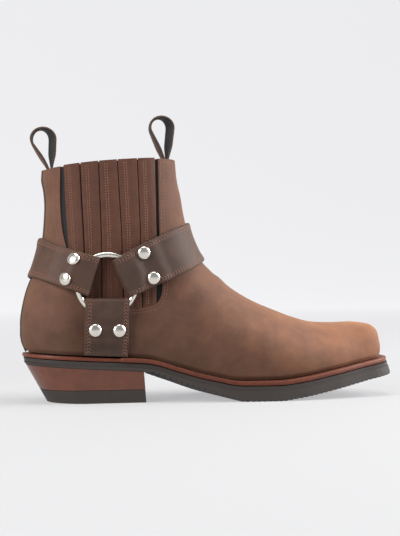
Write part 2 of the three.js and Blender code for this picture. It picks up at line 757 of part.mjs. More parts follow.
{
  const collar = heightAbove(0, 1, 1);
  const ankle = heightAbove(0, 1, 0);
  const borderAt = (border, z) => {
    const up = (z - ankle) / (collar - ankle);
    return lerp(border.ankle, border.collar, up) * lastLength;
  };
  const elasticTop = -upperWall + elasticThickness;
  const elasticShell = shell(elasticTop, -upperWall, goreStep, goreLoops, goreTurns);
  const stripFloor = elasticTop + strapGap;
  const stripShell = shell(stripFloor + stripThickness, stripFloor, goreStep, goreLoops, goreTurns);
  for (const [sideName, side] of Object.entries(sideNames)) {
    const window = cutToSide(windowOutline(gap), side);
    addPiece(`gore_elastic_${sideName}`, toGeometry(elasticShell.intersect(window)), black);
    for (let i = 0; i < stripBorders.length - 1; i += 1) {
      const low = seat(0);
      const high = collar + instepRise;
      const outline = [
        new THREE.Vector2(borderAt(stripBorders[i], low) + stripGap / 2, low),
        new THREE.Vector2(borderAt(stripBorders[i + 1], low) - stripGap / 2, low),
        new THREE.Vector2(borderAt(stripBorders[i + 1], high) - stripGap / 2, high),
        new THREE.Vector2(borderAt(stripBorders[i], high) + stripGap / 2, high),
      ];
      const strip = stripShell.intersect(window).intersect(cutToSide(outline, side));
      addPiece(`gore_strip_${sideName}_${i + 1}`, toGeometry(strip), stripLeather);
    }
  }
}

// Rings: one on each side, in the plane through the ankle's surface above, below, before and behind
const ringRadius = (ringDiameter - ringWire) / 2;

function ringGeometry(side, grow) {
  const at = (x, z) => sidePoint(ringAlong + x * ringRadius, ringHeight + z * ringRadius, side);
  const normal = at(1, 0).sub(at(-1, 0)).cross(at(0, 1).sub(at(0, -1))).normalize();
  if (normal.y * side < 0) normal.negate();
  const rim = [at(1, 0), at(-1, 0), at(0, 1), at(0, -1)];
  const middle = rim.reduce((sum, point) => sum.add(point), new THREE.Vector3()).divideScalar(rim.length);
  const centre = middle.addScaledVector(normal, ringStandoff);
  const geometry = new THREE.TorusGeometry(ringRadius, ringWire / 2 + grow, 6, 20);
  const turn = new THREE.Quaternion().setFromUnitVectors(new THREE.Vector3(0, 0, 1), normal);
  geometry.applyMatrix4(new THREE.Matrix4().compose(centre, turn, new THREE.Vector3(1, 1, 1)));
  return { geometry, centre, normal };
}

const rings = Object.fromEntries(Object.values(sideNames).map((side) => [side, ringGeometry(side, 0)]));

for (const [name, side] of Object.entries(sideNames)) {
  addPiece(`ring_${name}`, toGeometry(toSolid(rings[side].geometry)), nickel);
}

// How far a strap's face stands off the upper: one layer, two behind the rivets where it is folded
// back on itself, and more where it runs over a ring
function strapOffset(point, normal, side, fromTip) {
  const { centre, normal: axis } = rings[side];
  const folded = 1 - smoothstep(fromTip, rivetReach, rivetReach + strapSettle);
  const plain = strapGap + strapThickness + foldedLayer * folded;
  const toRing = centre.clone().sub(point);
  const outward = toRing.dot(axis) / Math.max(normal.dot(axis), 0.5);
  const over = outward + ringWire / 2 + gap + strapCover;
  const inPlane = toRing.addScaledVector(axis, -toRing.dot(axis)).length();
  const rim = ringRadius + ringWire / 2 + gap;
  const near = 1 - smoothstep(inPlane, rim, rim + strapSettle);
  return Math.max(plain, lerp(plain, over, near));
}

// Straps that wrap the back and the front. Each edge has its height at the ridge line and the corner
// of the folded tip, all from the ring's middle as shares of its diameter. Bend curves the edge
// between them, and rivet is how far round from the ridge to the tip its rivets sit.
const wrapStraps = {
  rear_strap: {
    end: 'back',
    low: { ridge: 0.092, tipAlong: -0.286, tipUp: -0.194, bend: 0.95, rivet: 0.68 },
    high: { ridge: 0.708, tipAlong: -0.106, tipUp: 0.412, bend: 0.62, rivet: 0.7 },
  },
  front_strap: {
    end: 'front',
    low: { ridge: 0.357, tipAlong: 0.337, tipUp: -0.206, bend: 1.05, rivet: 0.79 },
    high: { ridge: 0.953, tipAlong: 0.065, tipUp: 0.367, bend: 1.3, rivet: 0.79 },
  },
};

// Where the back or front ridge of the last is at a height, found by halving from the ankle up
function ridgeAt(end, z) {
  const halvings = 40;
  let low = goreStep;
  let high = lastStep;
  for (let i = 0; i < halvings; i += 1) {
    const middle = (low + high) / 2;
    if (sectionEnd(middle, end).z < z) low = middle;
    else high = middle;
  }
  return sectionEnd(low, end).x;
}

// A point of a wrapped strap: around runs from the outer tip, -1, over the ridge to the inner tip, 1
function wrapPoint(strap, around, across) {
  const between = (name) => lerp(strap.low[name], strap.high[name], across);
  const ridgeZ = ringHeight + between('ridge') * ringDiameter;
  const tipX = ringAlong + between('tipAlong') * ringDiameter;
  const tipZ = ringHeight + between('tipUp') * ringDiameter;
  const share = 1 - Math.cos((Math.abs(around) * Math.PI) / 2);
  const x = lerp(ridgeAt(strap.end, ridgeZ), tipX, share);
  const z = lerp(ridgeZ, tipZ, share ** between('bend'));
  return sidePoint(x, z, around > 0 ? 1 : -1);
}

function wrapFrame(strap, around, across) {
  const frame = sheetFrame((u, v) => wrapPoint(strap, u, v), around, across, [-1, 1], [0, 1]);
  const fromMiddle = frame.point.clone().sub(new THREE.Vector3(ringAlong, 0, frame.point.z));
  if (frame.normal.dot(fromMiddle) < 0) frame.normal.negate();
  const side = around > 0 ? 1 : -1;
  const tip = wrapPoint(strap, side, across);
  frame.offset = strapOffset(frame.point, frame.normal, side, frame.point.distanceTo(tip));
  return frame;
}

function dropPoint(up, across, side) {
  const x = ringAlong + (across - 0.5) * dropStrapWidth;
  return sidePoint(x, lerp(seat(x) + 2 * curvedGap, dropStrapTop, up), side);
}

function dropFrame(up, across, side) {
  const frame = sheetFrame((u, v) => dropPoint(u, v, side), up, across, [0, 1], [0, 1]);
  if (frame.normal.y * side < 0) frame.normal.negate();
  const tip = dropPoint(1, across, side);
  frame.offset = strapOffset(frame.point, frame.normal, side, frame.point.distanceTo(tip));
  return frame;
}

function strapBody(frames) {
  const lay = (offsetOf) => frames.map((row) => row.map((frame) => (
    frame.point.clone().addScaledVector(frame.normal, offsetOf(frame)))));
  return toSolid(thickSheet(lay((frame) => frame.offset), lay(() => strapGap), false));
}

// Rivet domes: a cap that sits square on a strap's face, on the highest place under its rim
function addRivet(name, frameAt, u, v) {
  const face = (a, b) => {
    const { point, normal: out, offset } = frameAt(a, b);
    return point.clone().addScaledVector(out, offset);
  };
  const { point, normal } = sheetFrame(face, u, v, [-1, 1], [0, 1]);
  if (normal.dot(frameAt(u, v).normal) < 0) normal.negate();
  const outline = [new THREE.Vector2(0, 0), new THREE.Vector2(rivetDiameter / 2, 0)];
  const rises = 3;
  for (let i = 1; i <= rises; i += 1) {
    const angle = ((Math.PI / 2) * i) / rises;
    const radius = i === rises ? 0 : (rivetDiameter / 2) * Math.cos(angle);
    outline.push(new THREE.Vector2(radius, rivetDome * Math.sin(angle)));
  }
  const geometry = new THREE.LatheGeometry(outline, 10);
  const probe = 0.01;
  const perU = face(u + probe, v).distanceTo(face(u - probe, v)) / (2 * probe);
  const perV = face(u, v + probe).distanceTo(face(u, v - probe)) / (2 * probe);
  let highest = 0;
  for (let angle = 0; angle < 2 * Math.PI; angle += Math.PI / 8) {
    const under = face(
      u + (rivetDiameter * Math.cos(angle)) / (2 * perU),
      clamp(v + (rivetDiameter * Math.sin(angle)) / (2 * perV), 0, 1),
    );
    highest = Math.max(highest, under.sub(point).dot(normal));
  }
  const seatPoint = point.addScaledVector(normal, gap + highest);
  const turn = new THREE.Quaternion().setFromUnitVectors(new THREE.Vector3(0, 1, 0), normal);
  geometry.applyMatrix4(new THREE.Matrix4().compose(seatPoint, turn, new THREE.Vector3(1, 1, 1)));
  addPiece(name, toGeometry(toSolid(geometry)), nickel);
}

{
  const tunnels = Object.values(sideNames).map((side) => toSolid(ringGeometry(side, gap).geometry));
  const cutTunnels = (body) => tunnels.reduce((cut, tunnel) => cut.subtract(tunnel), body);
  const across = [0, 1 / 3, 2 / 3, 1];
  for (const [name, strap] of Object.entries(wrapStraps)) {
    const half = 12;
    const frames = [];
    for (let i = -half; i <= half; i += 1) {
      frames.push(across.map((v) => wrapFrame(strap, i / half, v)));
    }
    addPiece(name, toGeometry(cutTunnels(strapBody(frames))), strapLeather);
    const width = wrapPoint(strap, 1, 0).distanceTo(wrapPoint(strap, 1, 1));
    for (const [sideName, side] of Object.entries(sideNames)) {
      const short = name.replace('_strap', '');
      const frameAt = (u, v) => wrapFrame(strap, u, v);
      const inset = rivetEdge / width;
      addRivet(`rivet_${short}_${sideName}_low`, frameAt, side * strap.low.rivet, inset);
      addRivet(`rivet_${short}_${sideName}_high`, frameAt, side * strap.high.rivet, 1 - inset);
    }
  }
  for (const [sideName, side] of Object.entries(sideNames)) {
    const rises = 11;
    const frames = [];
    for (let i = 0; i <= rises; i += 1) {
      frames.push(across.map((v) => dropFrame(i / rises, v, side)));
    }
    addPiece(`drop_strap_${sideName}`, toGeometry(cutTunnels(strapBody(frames))), strapLeather);
    const foot = seat(ringAlong) + 2 * curvedGap;
    const up = (dropRivetHeight - foot) / (dropStrapTop - foot);
    const inset = dropRivetInset / dropStrapWidth;
    const frameAt = (u, v) => dropFrame(u, v, side);
    addRivet(`rivet_drop_${sideName}_back`, frameAt, up, inset);
    addRivet(`rivet_drop_${sideName}_front`, frameAt, up, 1 - inset);
  }
}

// Pull loops: a strip folded into a drop-shaped loop, its two ends together down the inside
function pullLoop(name, end, height, lean) {
  const toMiddle = end === 'back' ? 1 : -1;
  const collar = sectionEnd(lastStep, end);
  const inward = (step) => sectionEnd(step, end).x * toMiddle;
  const reach = Math.max(...[0, 0.5, 1, 1.5].map((back) => inward(lastStep - back)));
  const sag = loopWidth ** 2 / (4 * shaftWidth);
  const tailX = (reach + upperWall + strapGap + sag + loopStrip) * toMiddle;
  const radius = loopSpan / 2;
  const top = new THREE.Vector2(tailX - lean, collar.z + height - radius);
  const neck = new THREE.Vector2(tailX, collar.z + 2 * gap);
  const outline = (shrink) => {
    const points = [];
    const size = radius - shrink;
    const away = top.clone().sub(neck);
    const bearing = Math.atan2(away.y, away.x);
    const tangent = Math.acos(size / away.length());
    const turns = 14;
    for (let i = 0; i <= turns; i += 1) {
      const angle = bearing - Math.PI + tangent + ((2 * Math.PI - 2 * tangent) * i) / turns;
      points.push(new THREE.Vector2(top.x + size * Math.cos(angle), top.y + size * Math.sin(angle)));
    }
    return points;
  };
  const rim = outline(0);
  const shape = new THREE.Shape([
    new THREE.Vector2(tailX - loopStrip, collar.z - loopTail),
    new THREE.Vector2(tailX + loopStrip, collar.z - loopTail),
    new THREE.Vector2(tailX + loopStrip, neck.y),
    ...rim,
    new THREE.Vector2(tailX - loopStrip, neck.y),
  ]);
  const neckHole = neck.clone().lerp(top, loopStrip / radius);
  shape.holes.push(new THREE.Path([neckHole, ...outline(loopStrip)]));
  const geometry = new THREE.ExtrudeGeometry(shape, { depth: loopWidth, bevelEnabled: false });
  geometry.rotateX(Math.PI / 2);
  geometry.translate(0, loopWidth / 2 + sidePoint(collar.x, collar.z, 1).y, 0);
  addPiece(name, toGeometry(toSolid(geometry)), strapLeather);
}

pullLoop('pull_loop_back', 'back', backLoopHeight, backLoopLean);
pullLoop('pull_loop_front', 'front', frontLoopHeight, frontLoopLean);

// The finished boot stands with the middle of its heel on the origin
boot.position.x = -(heelBreast + heelForward + soleBack + heelSlant) / 2;

export default boot;
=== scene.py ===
import bpy
import math
import numpy as np
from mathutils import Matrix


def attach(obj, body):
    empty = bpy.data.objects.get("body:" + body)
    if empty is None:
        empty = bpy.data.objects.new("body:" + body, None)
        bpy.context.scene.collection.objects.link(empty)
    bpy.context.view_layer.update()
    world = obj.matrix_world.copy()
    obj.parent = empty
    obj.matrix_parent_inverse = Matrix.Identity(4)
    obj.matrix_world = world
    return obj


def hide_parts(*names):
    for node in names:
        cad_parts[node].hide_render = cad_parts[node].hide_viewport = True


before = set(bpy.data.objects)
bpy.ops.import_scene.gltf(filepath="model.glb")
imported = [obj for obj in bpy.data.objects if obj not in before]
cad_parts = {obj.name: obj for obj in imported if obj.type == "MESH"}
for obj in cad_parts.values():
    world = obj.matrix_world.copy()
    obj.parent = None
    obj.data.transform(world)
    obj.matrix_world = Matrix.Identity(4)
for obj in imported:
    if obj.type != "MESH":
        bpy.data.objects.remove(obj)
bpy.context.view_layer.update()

# Camera: level, a little behind the outer side, as in a product photo of one boot
camera = {"place": (-0.2831, -1.141, 0.102), "azimuth": -18.0, "lens": 102.09, "sensor": 36.0}

lensData = bpy.data.cameras.new("camera")
lensData.lens = camera["lens"]
lensData.sensor_width = camera["sensor"]
cameraObject = bpy.data.objects.new("camera", lensData)
cameraObject.location = camera["place"]
cameraObject.rotation_euler = (math.radians(90), 0, math.radians(camera["azimuth"]))
bpy.context.scene.collection.objects.link(cameraObject)
bpy.context.scene.camera = cameraObject

# The last that the boot is built on, in millimetres, the same as the frame's
last = {
    "length": 297.0, "ballWidth": 100.0, "heelWidth": 65.0, "shaftWidth": 77.0,
    "instepRise": 82.0, "shaftRise": 80.0, "sideBulge": 0.03, "toeSquareness": 1.1,
    "upperWall": 2.2, "curvedGap": 0.6, "gap": 0.3, "strapGap": 0.6, "shift": -55.5585, "collarArch": 2.6, "archSteps": 4,
}

sole = {
    "heelHeight": 29.2, "toeSpring": 19.0, "atHeel": 5.6, "atBall": 12.2, "welt": 3.4,
    "reachHeel": 1.8, "reachFore": 5.0, "lip": 5.5, "bandHeight": 3.2, "bandInset": 0.8,
    "toeFlare": 3.4, "topFlare": 0.8, "backRake": 2.6, "insole": 3.0, "ribPitch": 4.3, "ribDepth": 1.6, "ribTip": 2.4,
    # along, heel, spring, fore
    "rows": [
        (0.0, 1.0, 0, 0), (0.15, 0.904, 0, 0.03), (0.3, 0.807, 0, 0.1), (0.325, 0.745, 0, 0.17),
        (0.375, 0.56, 0, 0.29), (0.43, 0.37, 0, 0.4), (0.483, 0.18, 0, 0.68),
        (0.524, 0.05, 0, 0.87), (0.55, 0, 0, 1), (0.638, 0, 0, 1), (0.702, 0, 0.11, 0.96),
        (0.806, 0, 0.395, 0.92), (0.87, 0, 0.59, 0.88), (0.938, 0, 0.79, 0.8), (1.02, 0, 1, 0.7),
    ],
}

# along, share of the heel width, share of the ball width, middle line
planRows = [
    (0.0, 0.96, 0, 0), (0.12, 1.0, 0, 0), (0.25, 0.98, 0.01, -0.012), (0.4, 0.7, 0.24, -0.03),
    (0.52, 0.35, 0.6, -0.028), (0.62, 0, 0.96, -0.01), (0.7, 0, 1, 0.01), (0.8, 0, 0.935, 0.022),
    (0.89, 0, 0.79, 0.025), (0.98, 0, 0.64, 0.025),
]

# back along, foot, shaft, round, then the same for the front, then level
sectionRows = [
    (0.0125, 0, 0, 0.32, 0.9795, 0, 0, 0.2, 0),
    (0.003, 0.085, 0, 0.32, 0.981, 0.085, 0, 0.2, 0),
    (0.0, 0.155, 0, 0.32, 0.9765, 0.165, 0, 0.2, 0),
    (0.0, 0.215, 0, 0.32, 0.971, 0.252, 0, 0.21, 0),
    (0.0, 0.27, 0, 0.32, 0.957, 0.318, 0, 0.23, 0),
    (0.0015, 0.33, 0, 0.32, 0.926, 0.354, 0, 0.26, 0),
    (0.004, 0.39, 0, 0.33, 0.865, 0.386, 0, 0.31, 0),
    (0.0075, 0.455, 0, 0.34, 0.796, 0.443, 0, 0.37, 0),
    (0.0125, 0.53, 0, 0.35, 0.7345, 0.538, 0, 0.42, 0.05),
    (0.0205, 0.62, 0, 0.36, 0.6665, 0.661, 0, 0.46, 0.15),
    (0.032, 0.715, 0, 0.38, 0.606, 0.761, 0, 0.48, 0.3),
    (0.043, 0.825, 0, 0.4, 0.557, 0.867, 0, 0.48, 0.5),
    (0.0522, 0.94, 0, 0.42, 0.519, 0.973, 0, 0.46, 0.7),
    (0.057, 1, 0.034, 0.43, 0.4885, 1, 0.045, 0.44, 0.85),
    (0.0606, 1, 0.133, 0.43, 0.462, 1, 0.16, 0.42, 1),
    (0.063, 1, 0.26, 0.43, 0.4405, 1, 0.33, 0.41, 1),
    (0.064, 1, 0.37, 0.43, 0.4285, 1, 0.49, 0.41, 1),
    (0.0615, 1, 0.5, 0.43, 0.4205, 1, 0.65, 0.41, 1),
    (0.0555, 1, 0.62, 0.43, 0.4105, 1, 0.8, 0.41, 1),
    (0.0569, 1, 0.7075, 0.43, 0.4055, 1, 0.97, 0.41, 1),
]


def lerp(a, b, t):
    return a + (b - a) * t


def smoothstep(value, low, high):
    t = np.clip((value - low) / (high - low), 0, 1)
    return t * t * (3 - 2 * t)


# A smooth curve through a column of a table that never swings past its rows
def curveThrough(at, value):
    at = np.array(at, float)
    value = np.array(value, float)
    rise = np.diff(value) / np.diff(at)
    before = np.concatenate([rise[:1], rise])
    after = np.concatenate([rise, rise[-1:]])
    product = before * after
    total = np.where(product > 0, before + after, 1)
    tangent = np.where(product > 0, 2 * product / total, 0)

    def curve(where):
        place = np.clip(where, at[0], at[-1])
        i = np.clip(np.searchsorted(at, place, side="left") - 1, 0, len(rise) - 1)
        width = at[i + 1] - at[i]
        t = (place - at[i]) / width
        pulls = t * (1 - t) ** 2 * tangent[i] + t * t * (t - 1) * tangent[i + 1]
        return lerp(value[i], value[i + 1], t * t * (3 - 2 * t)) + width * pulls

    return curve


def columnsOf(rows, at):
    table = np.array(rows, float)
    return [curveThrough(at, table[:, i]) for i in range(table.shape[1])]


soleAlong = [row[0] for row in sole["rows"]]
heelAt, springAt, foreAt = columnsOf([row[1:] for row in sole["rows"]], soleAlong)
ofHeelAt, ofBallAt, centreAt = columnsOf([row[1:] for row in planRows], [row[0] for row in planRows])
sectionColumns = columnsOf(sectionRows, range(len(sectionRows)))
lastStep = len(sectionRows) - 1


def underside(x):
    along = x / last["length"]
    return heelAt(along) * sole["heelHeight"] + springAt(along) * sole["toeSpring"]


def weltUnderside(x):
    return underside(x) + lerp(sole["atHeel"], sole["atBall"], foreAt(x / last["length"]))


def seat(x):
    return weltUnderside(x) + sole["welt"]


# Point of the side profile at a step, on its back or front side
def sectionEnd(step, end):
    along, foot, shaft, rounding = sectionColumns[0:4] if end == "back" else sectionColumns[4:8]
    x = along(step) * last["length"]
    rise = foot(step) * last["instepRise"] + shaft(step) * last["shaftRise"]
    return x, rise, seat(x) + last["curvedGap"] + rise, rounding(step) * last["ballWidth"]


# The side profile as short straight pieces: start, direction, length and rounding
def profilePieces(end):
    steps = np.arange(lastStep * 12 + 1) / 12
    x, rise, z, rounding = sectionEnd(steps, end)
    x = np.concatenate([x[:1], x, x[-1:]])
    z = np.concatenate([z[:1] - last["ballWidth"], z, z[-1:] + last["ballWidth"]])
    rounding = np.concatenate([rounding[:1], rounding, rounding[-1:]])
    length = np.hypot(np.diff(x), np.diff(z))
    middles = (rounding[1:] + rounding[:-1]) / 2
    return np.stack([x[:-1], z[:-1], np.diff(x) / length, np.diff(z) / length, length, middles], 1)


profile = np.concatenate([profilePieces("back"), profilePieces("front")])


# How deep a place lies inside the side profile, as a share of the rounding there
def depthInside(x, z):
    total = np.zeros_like(x)
    for pieceX, pieceZ, alongX, alongZ, length, rounding in profile:
        start = (pieceX - x) * alongX + (pieceZ - z) * alongZ
        end = start + length
        away = np.maximum(np.abs((pieceX - x) * alongZ - (pieceZ - z) * alongX), 1e-4)
        nearer = np.minimum(np.abs(start), np.abs(end))
        far = (start * end > 0) & (nearer > 30 * away)
        safeStart = np.where(far, start, 1)
        safeEnd = np.where(far, end, 1)
        farWeight = (1 / safeStart**3 - 1 / safeEnd**3) / 3
        nearEnd = end / (2 * away**2 * (away**2 + end**2)) + np.arctan(end / away) / (2 * away**3)
        nearStart = (start / (2 * away**2 * (away**2 + start**2))
                     + np.arctan(start / away) / (2 * away**3))
        total += rounding**3 * np.abs(np.where(far, farWeight, nearEnd - nearStart))
    return (2 / math.pi * total) ** (-1 / 3)


# A point of the last on one side, -1 the outer and 1 the inner one
def sidePoint(x, z, side):
    x, z, side = np.broadcast_arrays(np.asarray(x, float), np.asarray(z, float), side)
    along = x / last["length"]
    rise = z - seat(x)
    instep = last["instepRise"]
    toShaft = smoothstep(rise, 0.45 * instep, instep + 0.25 * last["shaftRise"])
    bulge = 1 + last["sideBulge"] * np.sin(math.pi * np.clip(rise / (0.6 * instep), 0, 1))
    foot = (ofHeelAt(along) * last["heelWidth"] + ofBallAt(along) * last["ballWidth"]) / 2
    widest = lerp(foot * bulge, last["shaftWidth"] / 2, toShaft)
    power = 2.1 + last["toeSquareness"] * smoothstep(along, 0.88, 0.98)
    depth = np.minimum(depthInside(x, z), 1)
    half = widest * (1 - (1 - depth) ** power) ** (1 / power)
    middle = centreAt(along) * last["ballWidth"] * (1 - toShaft)
    return np.stack([x, middle + side * half, z], -1)


# The collar arches up between its back and front
def collarLift(step, share):
    near = smoothstep(step, lastStep - last["archSteps"], lastStep)
    return last["collarArch"] * near * np.maximum(4 * share * (1 - share), 0) ** 0.6


# A point on the section at a step: turn goes from the back along the outer side to the front, 0.5
def lastPoint(step, turn):
    backX, backRise, backZ, _ = sectionEnd(step, "back")
    frontX, frontRise, frontZ, _ = sectionEnd(step, "front")
    share = (1 - np.cos(2 * math.pi * turn)) / 2
    x = lerp(backX, frontX, share)
    followed = seat(x) + last["curvedGap"] + lerp(backRise, frontRise, share)
    z = lerp(followed, lerp(backZ, frontZ, share), sectionColumns[8](step))
    z += collarLift(step, share)
    point = sidePoint(x, z, np.where(turn > 0.5, 1, -1))
    ridge = np.broadcast_to(turn % 0.5 == 0, x.shape)
    point[ridge, 1] = sidePoint(x, z, 0)[ridge, 1]
    return point


# Normals of a grid of points, from its neighbours
def gridNormals(points, wrap=False):
    if wrap:
        around = np.concatenate([points[:, -1:], points, points[:, :1]], 1)
        acrossStep = np.gradient(around, axis=1)[:, 1:-1]
    else:
        acrossStep = np.gradient(points, axis=1)
    normals = np.cross(acrossStep, np.gradient(points, axis=0))
    return normals / np.maximum(np.linalg.norm(normals, axis=-1, keepdims=True), 1e-9)


# Point and outward normal on one side, for places in the side view
def sideFrame(x, z, side):
    reach = 0.4
    point = sidePoint(x, z, side)
    alongX = sidePoint(x + reach, z, side) - sidePoint(x - reach, z, side)
    alongZ = sidePoint(x, z + reach, side) - sidePoint(x, z - reach, side)
    normal = np.cross(alongX, alongZ)
    normal /= np.linalg.norm(normal, axis=-1, keepdims=True)
    normal *= np.where(normal[..., 1:2] * side < 0, -1, 1)
    return point, normal


# Where a fractional row and column of a grid lies
def readGrid(grid, row, column):
    row = np.clip(row, 0, grid.shape[0] - 1.0001)
    column = np.clip(column, 0, grid.shape[1] - 1.0001)
    i = row.astype(int)
    j = column.astype(int)
    s = (row - i)[..., None]
    t = (column - j)[..., None]
    low = lerp(grid[i, j], grid[i, j + 1], t)
    high = lerp(grid[i + 1, j], grid[i + 1, j + 1], t)
    return lerp(low, high, s)


# Evenly spaced places along a line of points, as fractional indices
def evenPlaces(line, spacing):
    lengths = np.linalg.norm(np.diff(line, axis=0), axis=1)
    run = np.concatenate([[0], np.cumsum(lengths)])
    count = max(int(run[-1] / spacing), 1)
    return np.interp(np.linspace(0, run[-1], count + 1), run, np.arange(len(line)))


def toMetres(points):
    return (np.asarray(points, float).reshape(-1, 3) + [last["shift"], 0, 0]) / 1000


def linkPiece(name, mesh, materials, nodes):
    piece = bpy.data.objects.new(name, mesh)
    for material in materials:
        mesh.materials.append(material)
    bpy.context.scene.collection.objects.link(piece)
    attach(piece, "root")
    if nodes:
        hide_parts(*nodes)
    return piece


# A mesh from points and faces, smooth but for edges sharper than the angle
def buildMesh(name, points, faces, finishes=None, angle=38):
    mesh = bpy.data.meshes.new(name)
    mesh.from_pydata(toMetres(points).tolist(), [], [list(map(int, face)) for face in faces])
    if finishes is not None:
        mesh.polygons.foreach_set("material_index", np.asarray(finishes, np.int32))
    mesh.polygons.foreach_set("use_smooth", np.ones(len(mesh.polygons), bool))
    mesh.update()
    mesh.set_sharp_from_angle(angle=math.radians(angle))
    return mesh


def gridFaces(rows, columns, wrap=False, start=0):
    i, j = np.meshgrid(np.arange(rows - 1), np.arange(columns if wrap else columns - 1), indexing="ij")
    following = (j + 1) % columns
    quads = np.stack([i * columns + j, i * columns + following,
                      (i + 1) * columns + following, (i + 1) * columns + j], -1)
    return quads.reshape(-1, 4) + start


# A closed body from loops of points, rows by columns, each loop closed and both ends capped
def loopBody(loops):
    loops = np.asarray(loops, float)
    rows, columns = loops.shape[:2]
    faces = list(gridFaces(rows, columns, wrap=True))
    faces.append(list(range(columns))[::-1])
    faces.append(list(range((rows - 1) * columns, rows * columns)))
    return loops.reshape(-1, 3), faces


def addNode(tree, kind, settings=None, links=None):
    node = tree.nodes.new(kind)
    for name, value in (settings or {}).items():
        if isinstance(name, int) or name in node.inputs:
            node.inputs[name].default_value = value
        else:
            setattr(node, name, value)
    for name, source in (links or {}).items():
        tree.links.new(source, node.inputs[name])
    return node


def toLinear(colour):
    parts = [int(colour[i:i + 2], 16) / 255 for i in (1, 3, 5)]
    return tuple(p / 12.92 if p <= 0.04045 else ((p + 0.055) / 1.055) ** 2.4 for p in parts) + (1,)


def newMaterial(name):
    material = bpy.data.materials.new(name)
    material.use_nodes = True
    material.node_tree.nodes.clear()
    tree = material.node_tree
    shader = addNode(tree, "ShaderNodeBsdfPrincipled")
    addNode(tree, "ShaderNodeOutputMaterial", links={"Surface": shader.outputs[0]})
    return material, tree, shader


# Noise whose features are so many real millimetres wide
def millimetreNoise(tree, place, width, detail=4.0):
    settings = {"Scale": 1000 / width, "Detail": detail, "Roughness": 0.6}
    return addNode(tree, "ShaderNodeTexNoise", settings, {"Vector": place}).outputs[0]


def setStops(ramp, stops):
    elements = ramp.color_ramp.elements
    while len(elements) < len(stops):
        elements.new(0.5)
    for element, (position, colour) in zip(elements, stops):
        element.position = position
        element.color = toLinear(colour)


# Leather: tones run along the boot from heel, 0, to toe, 1, and clouds of wax shift them. Painted shade darkens
# it towards the bottom. The nap shows as a soft sheen at the edges, and the grain as a fine bump.
def makeLeather(name, look):
    material, tree, shader = newMaterial(name)
    place = addNode(tree, "ShaderNodeTexCoord").outputs["Object"]
    x = addNode(tree, "ShaderNodeSeparateXYZ", links={"Vector": place}).outputs["X"]
    along = addNode(tree, "ShaderNodeMapRange", {"From Min": -0.055, "From Max": 0.24}, {"Value": x}).outputs[0]
    cloud = millimetreNoise(tree, place, look["cloud"])
    z = addNode(tree, "ShaderNodeSeparateXYZ", links={"Vector": place}).outputs["Z"]
    # painted shade: below 85 mm above the floor the colour darkens, down to the share given as low at 22 mm
    paintedShadeLow = addNode(tree, "ShaderNodeMapRange", {"From Min": 0.022, "From Max": 0.085, "To Min": look["low"]},
                    {"Value": z}).outputs[0]
    shift = addNode(tree, "ShaderNodeMath", {"operation": "MULTIPLY_ADD", 1: look["mottle"]}, {0: cloud, 2: along})
    centred = addNode(tree, "ShaderNodeMath", {"operation": "SUBTRACT", 1: look["mottle"] / 2}, {0: shift.outputs[0]})
    tones = addNode(tree, "ShaderNodeValToRGB", links={"Fac": centred.outputs[0]})
    setStops(tones, look["tones"])
    speckle = millimetreNoise(tree, place, look["speckle"], 6.0)
    light = addNode(tree, "ShaderNodeMapRange", {"To Min": 1 - look["uneven"], "To Max": 1 + look["uneven"],
                                                 "From Min": 0.3, "From Max": 0.7}, {"Value": speckle}).outputs[0]
    value = addNode(tree, "ShaderNodeMath", {"operation": "MULTIPLY"}, {0: light, 1: paintedShadeLow}).outputs[0]
    colour = addNode(tree, "ShaderNodeHueSaturation", links={"Color": tones.outputs["Color"], "Value": value})
    tree.links.new(colour.outputs[0], shader.inputs["Base Color"])
    roughness = addNode(tree, "ShaderNodeMapRange", {"To Min": look["gloss"][0], "To Max": look["gloss"][1]},
                        {"Value": cloud}).outputs[0]
    tree.links.new(roughness, shader.inputs["Roughness"])
    grain = millimetreNoise(tree, place, look["grain"], 5.0)
    bump = addNode(tree, "ShaderNodeBump", {"Strength": look["bump"], "Distance": 0.0003}, {"Height": grain})
    tree.links.new(bump.outputs[0], shader.inputs["Normal"])
    shader.inputs["Specular IOR Level"].default_value = 0.25
    shader.inputs["Sheen Weight"].default_value = look["sheen"]
    shader.inputs["Sheen Roughness"].default_value = 0.4
    shader.inputs["Sheen Tint"].default_value = toLinear(look["nap"])
    return material


# Oil-tanned nubuck: buffed on the grain side, then waxed by hand, so it is matt with a soft nap and
# cloudy, and lightest where the hand rubs it, at the toe. The nap is finer than a pixel, so its
# bump is drawn 1.2 mm wide.
oiledLeather = makeLeather("oiledLeather", {
    "tones": [(0.0, "#5a3e30"), (0.35, "#53382b"), (0.6, "#664534"), (0.8, "#79513b"), (1.0, "#8f6146")],
    "cloud": 30, "mottle": 0.55, "speckle": 12, "uneven": 0.16, "low": 0.63, "gloss": (0.7, 0.86),
    "grain": 1.2, "bump": 0.35, "sheen": 0.22, "nap": "#d8a27a",
})
# Harness leather: the same hide cut thick and rubbed with dark wax, which leaves it greyer and smoother
strapLeather = makeLeather("strapLeather", {
    "tones": [(0.0, "#463127"), (0.3, "#3c2d26"), (0.45, "#47352b"), (0.7, "#40322a"), (1.0, "#47352b")],
    "cloud": 22, "mottle": 0.5, "speckle": 8, "uneven": 0.16, "low": 0.8, "gloss": (0.58, 0.74),
    "grain": 1.4, "bump": 0.3, "sheen": 0.1, "nap": "#b98a68",
})
# Gore strips: the upper's leather skived thin and folded, with the warm brown flesh tone at its folds
stripLeather = makeLeather("stripLeather", {
    "tones": [(0.0, "#472b20"), (0.3, "#4d2f23"), (0.5, "#3f281f"), (1.0, "#492d22")],
    "cloud": 16, "mottle": 0.3, "speckle": 5, "uneven": 0.16, "low": 0.8, "gloss": (0.7, 0.85),
    "grain": 1.4, "bump": 0.35, "sheen": 0.15, "nap": "#c8916c",
})
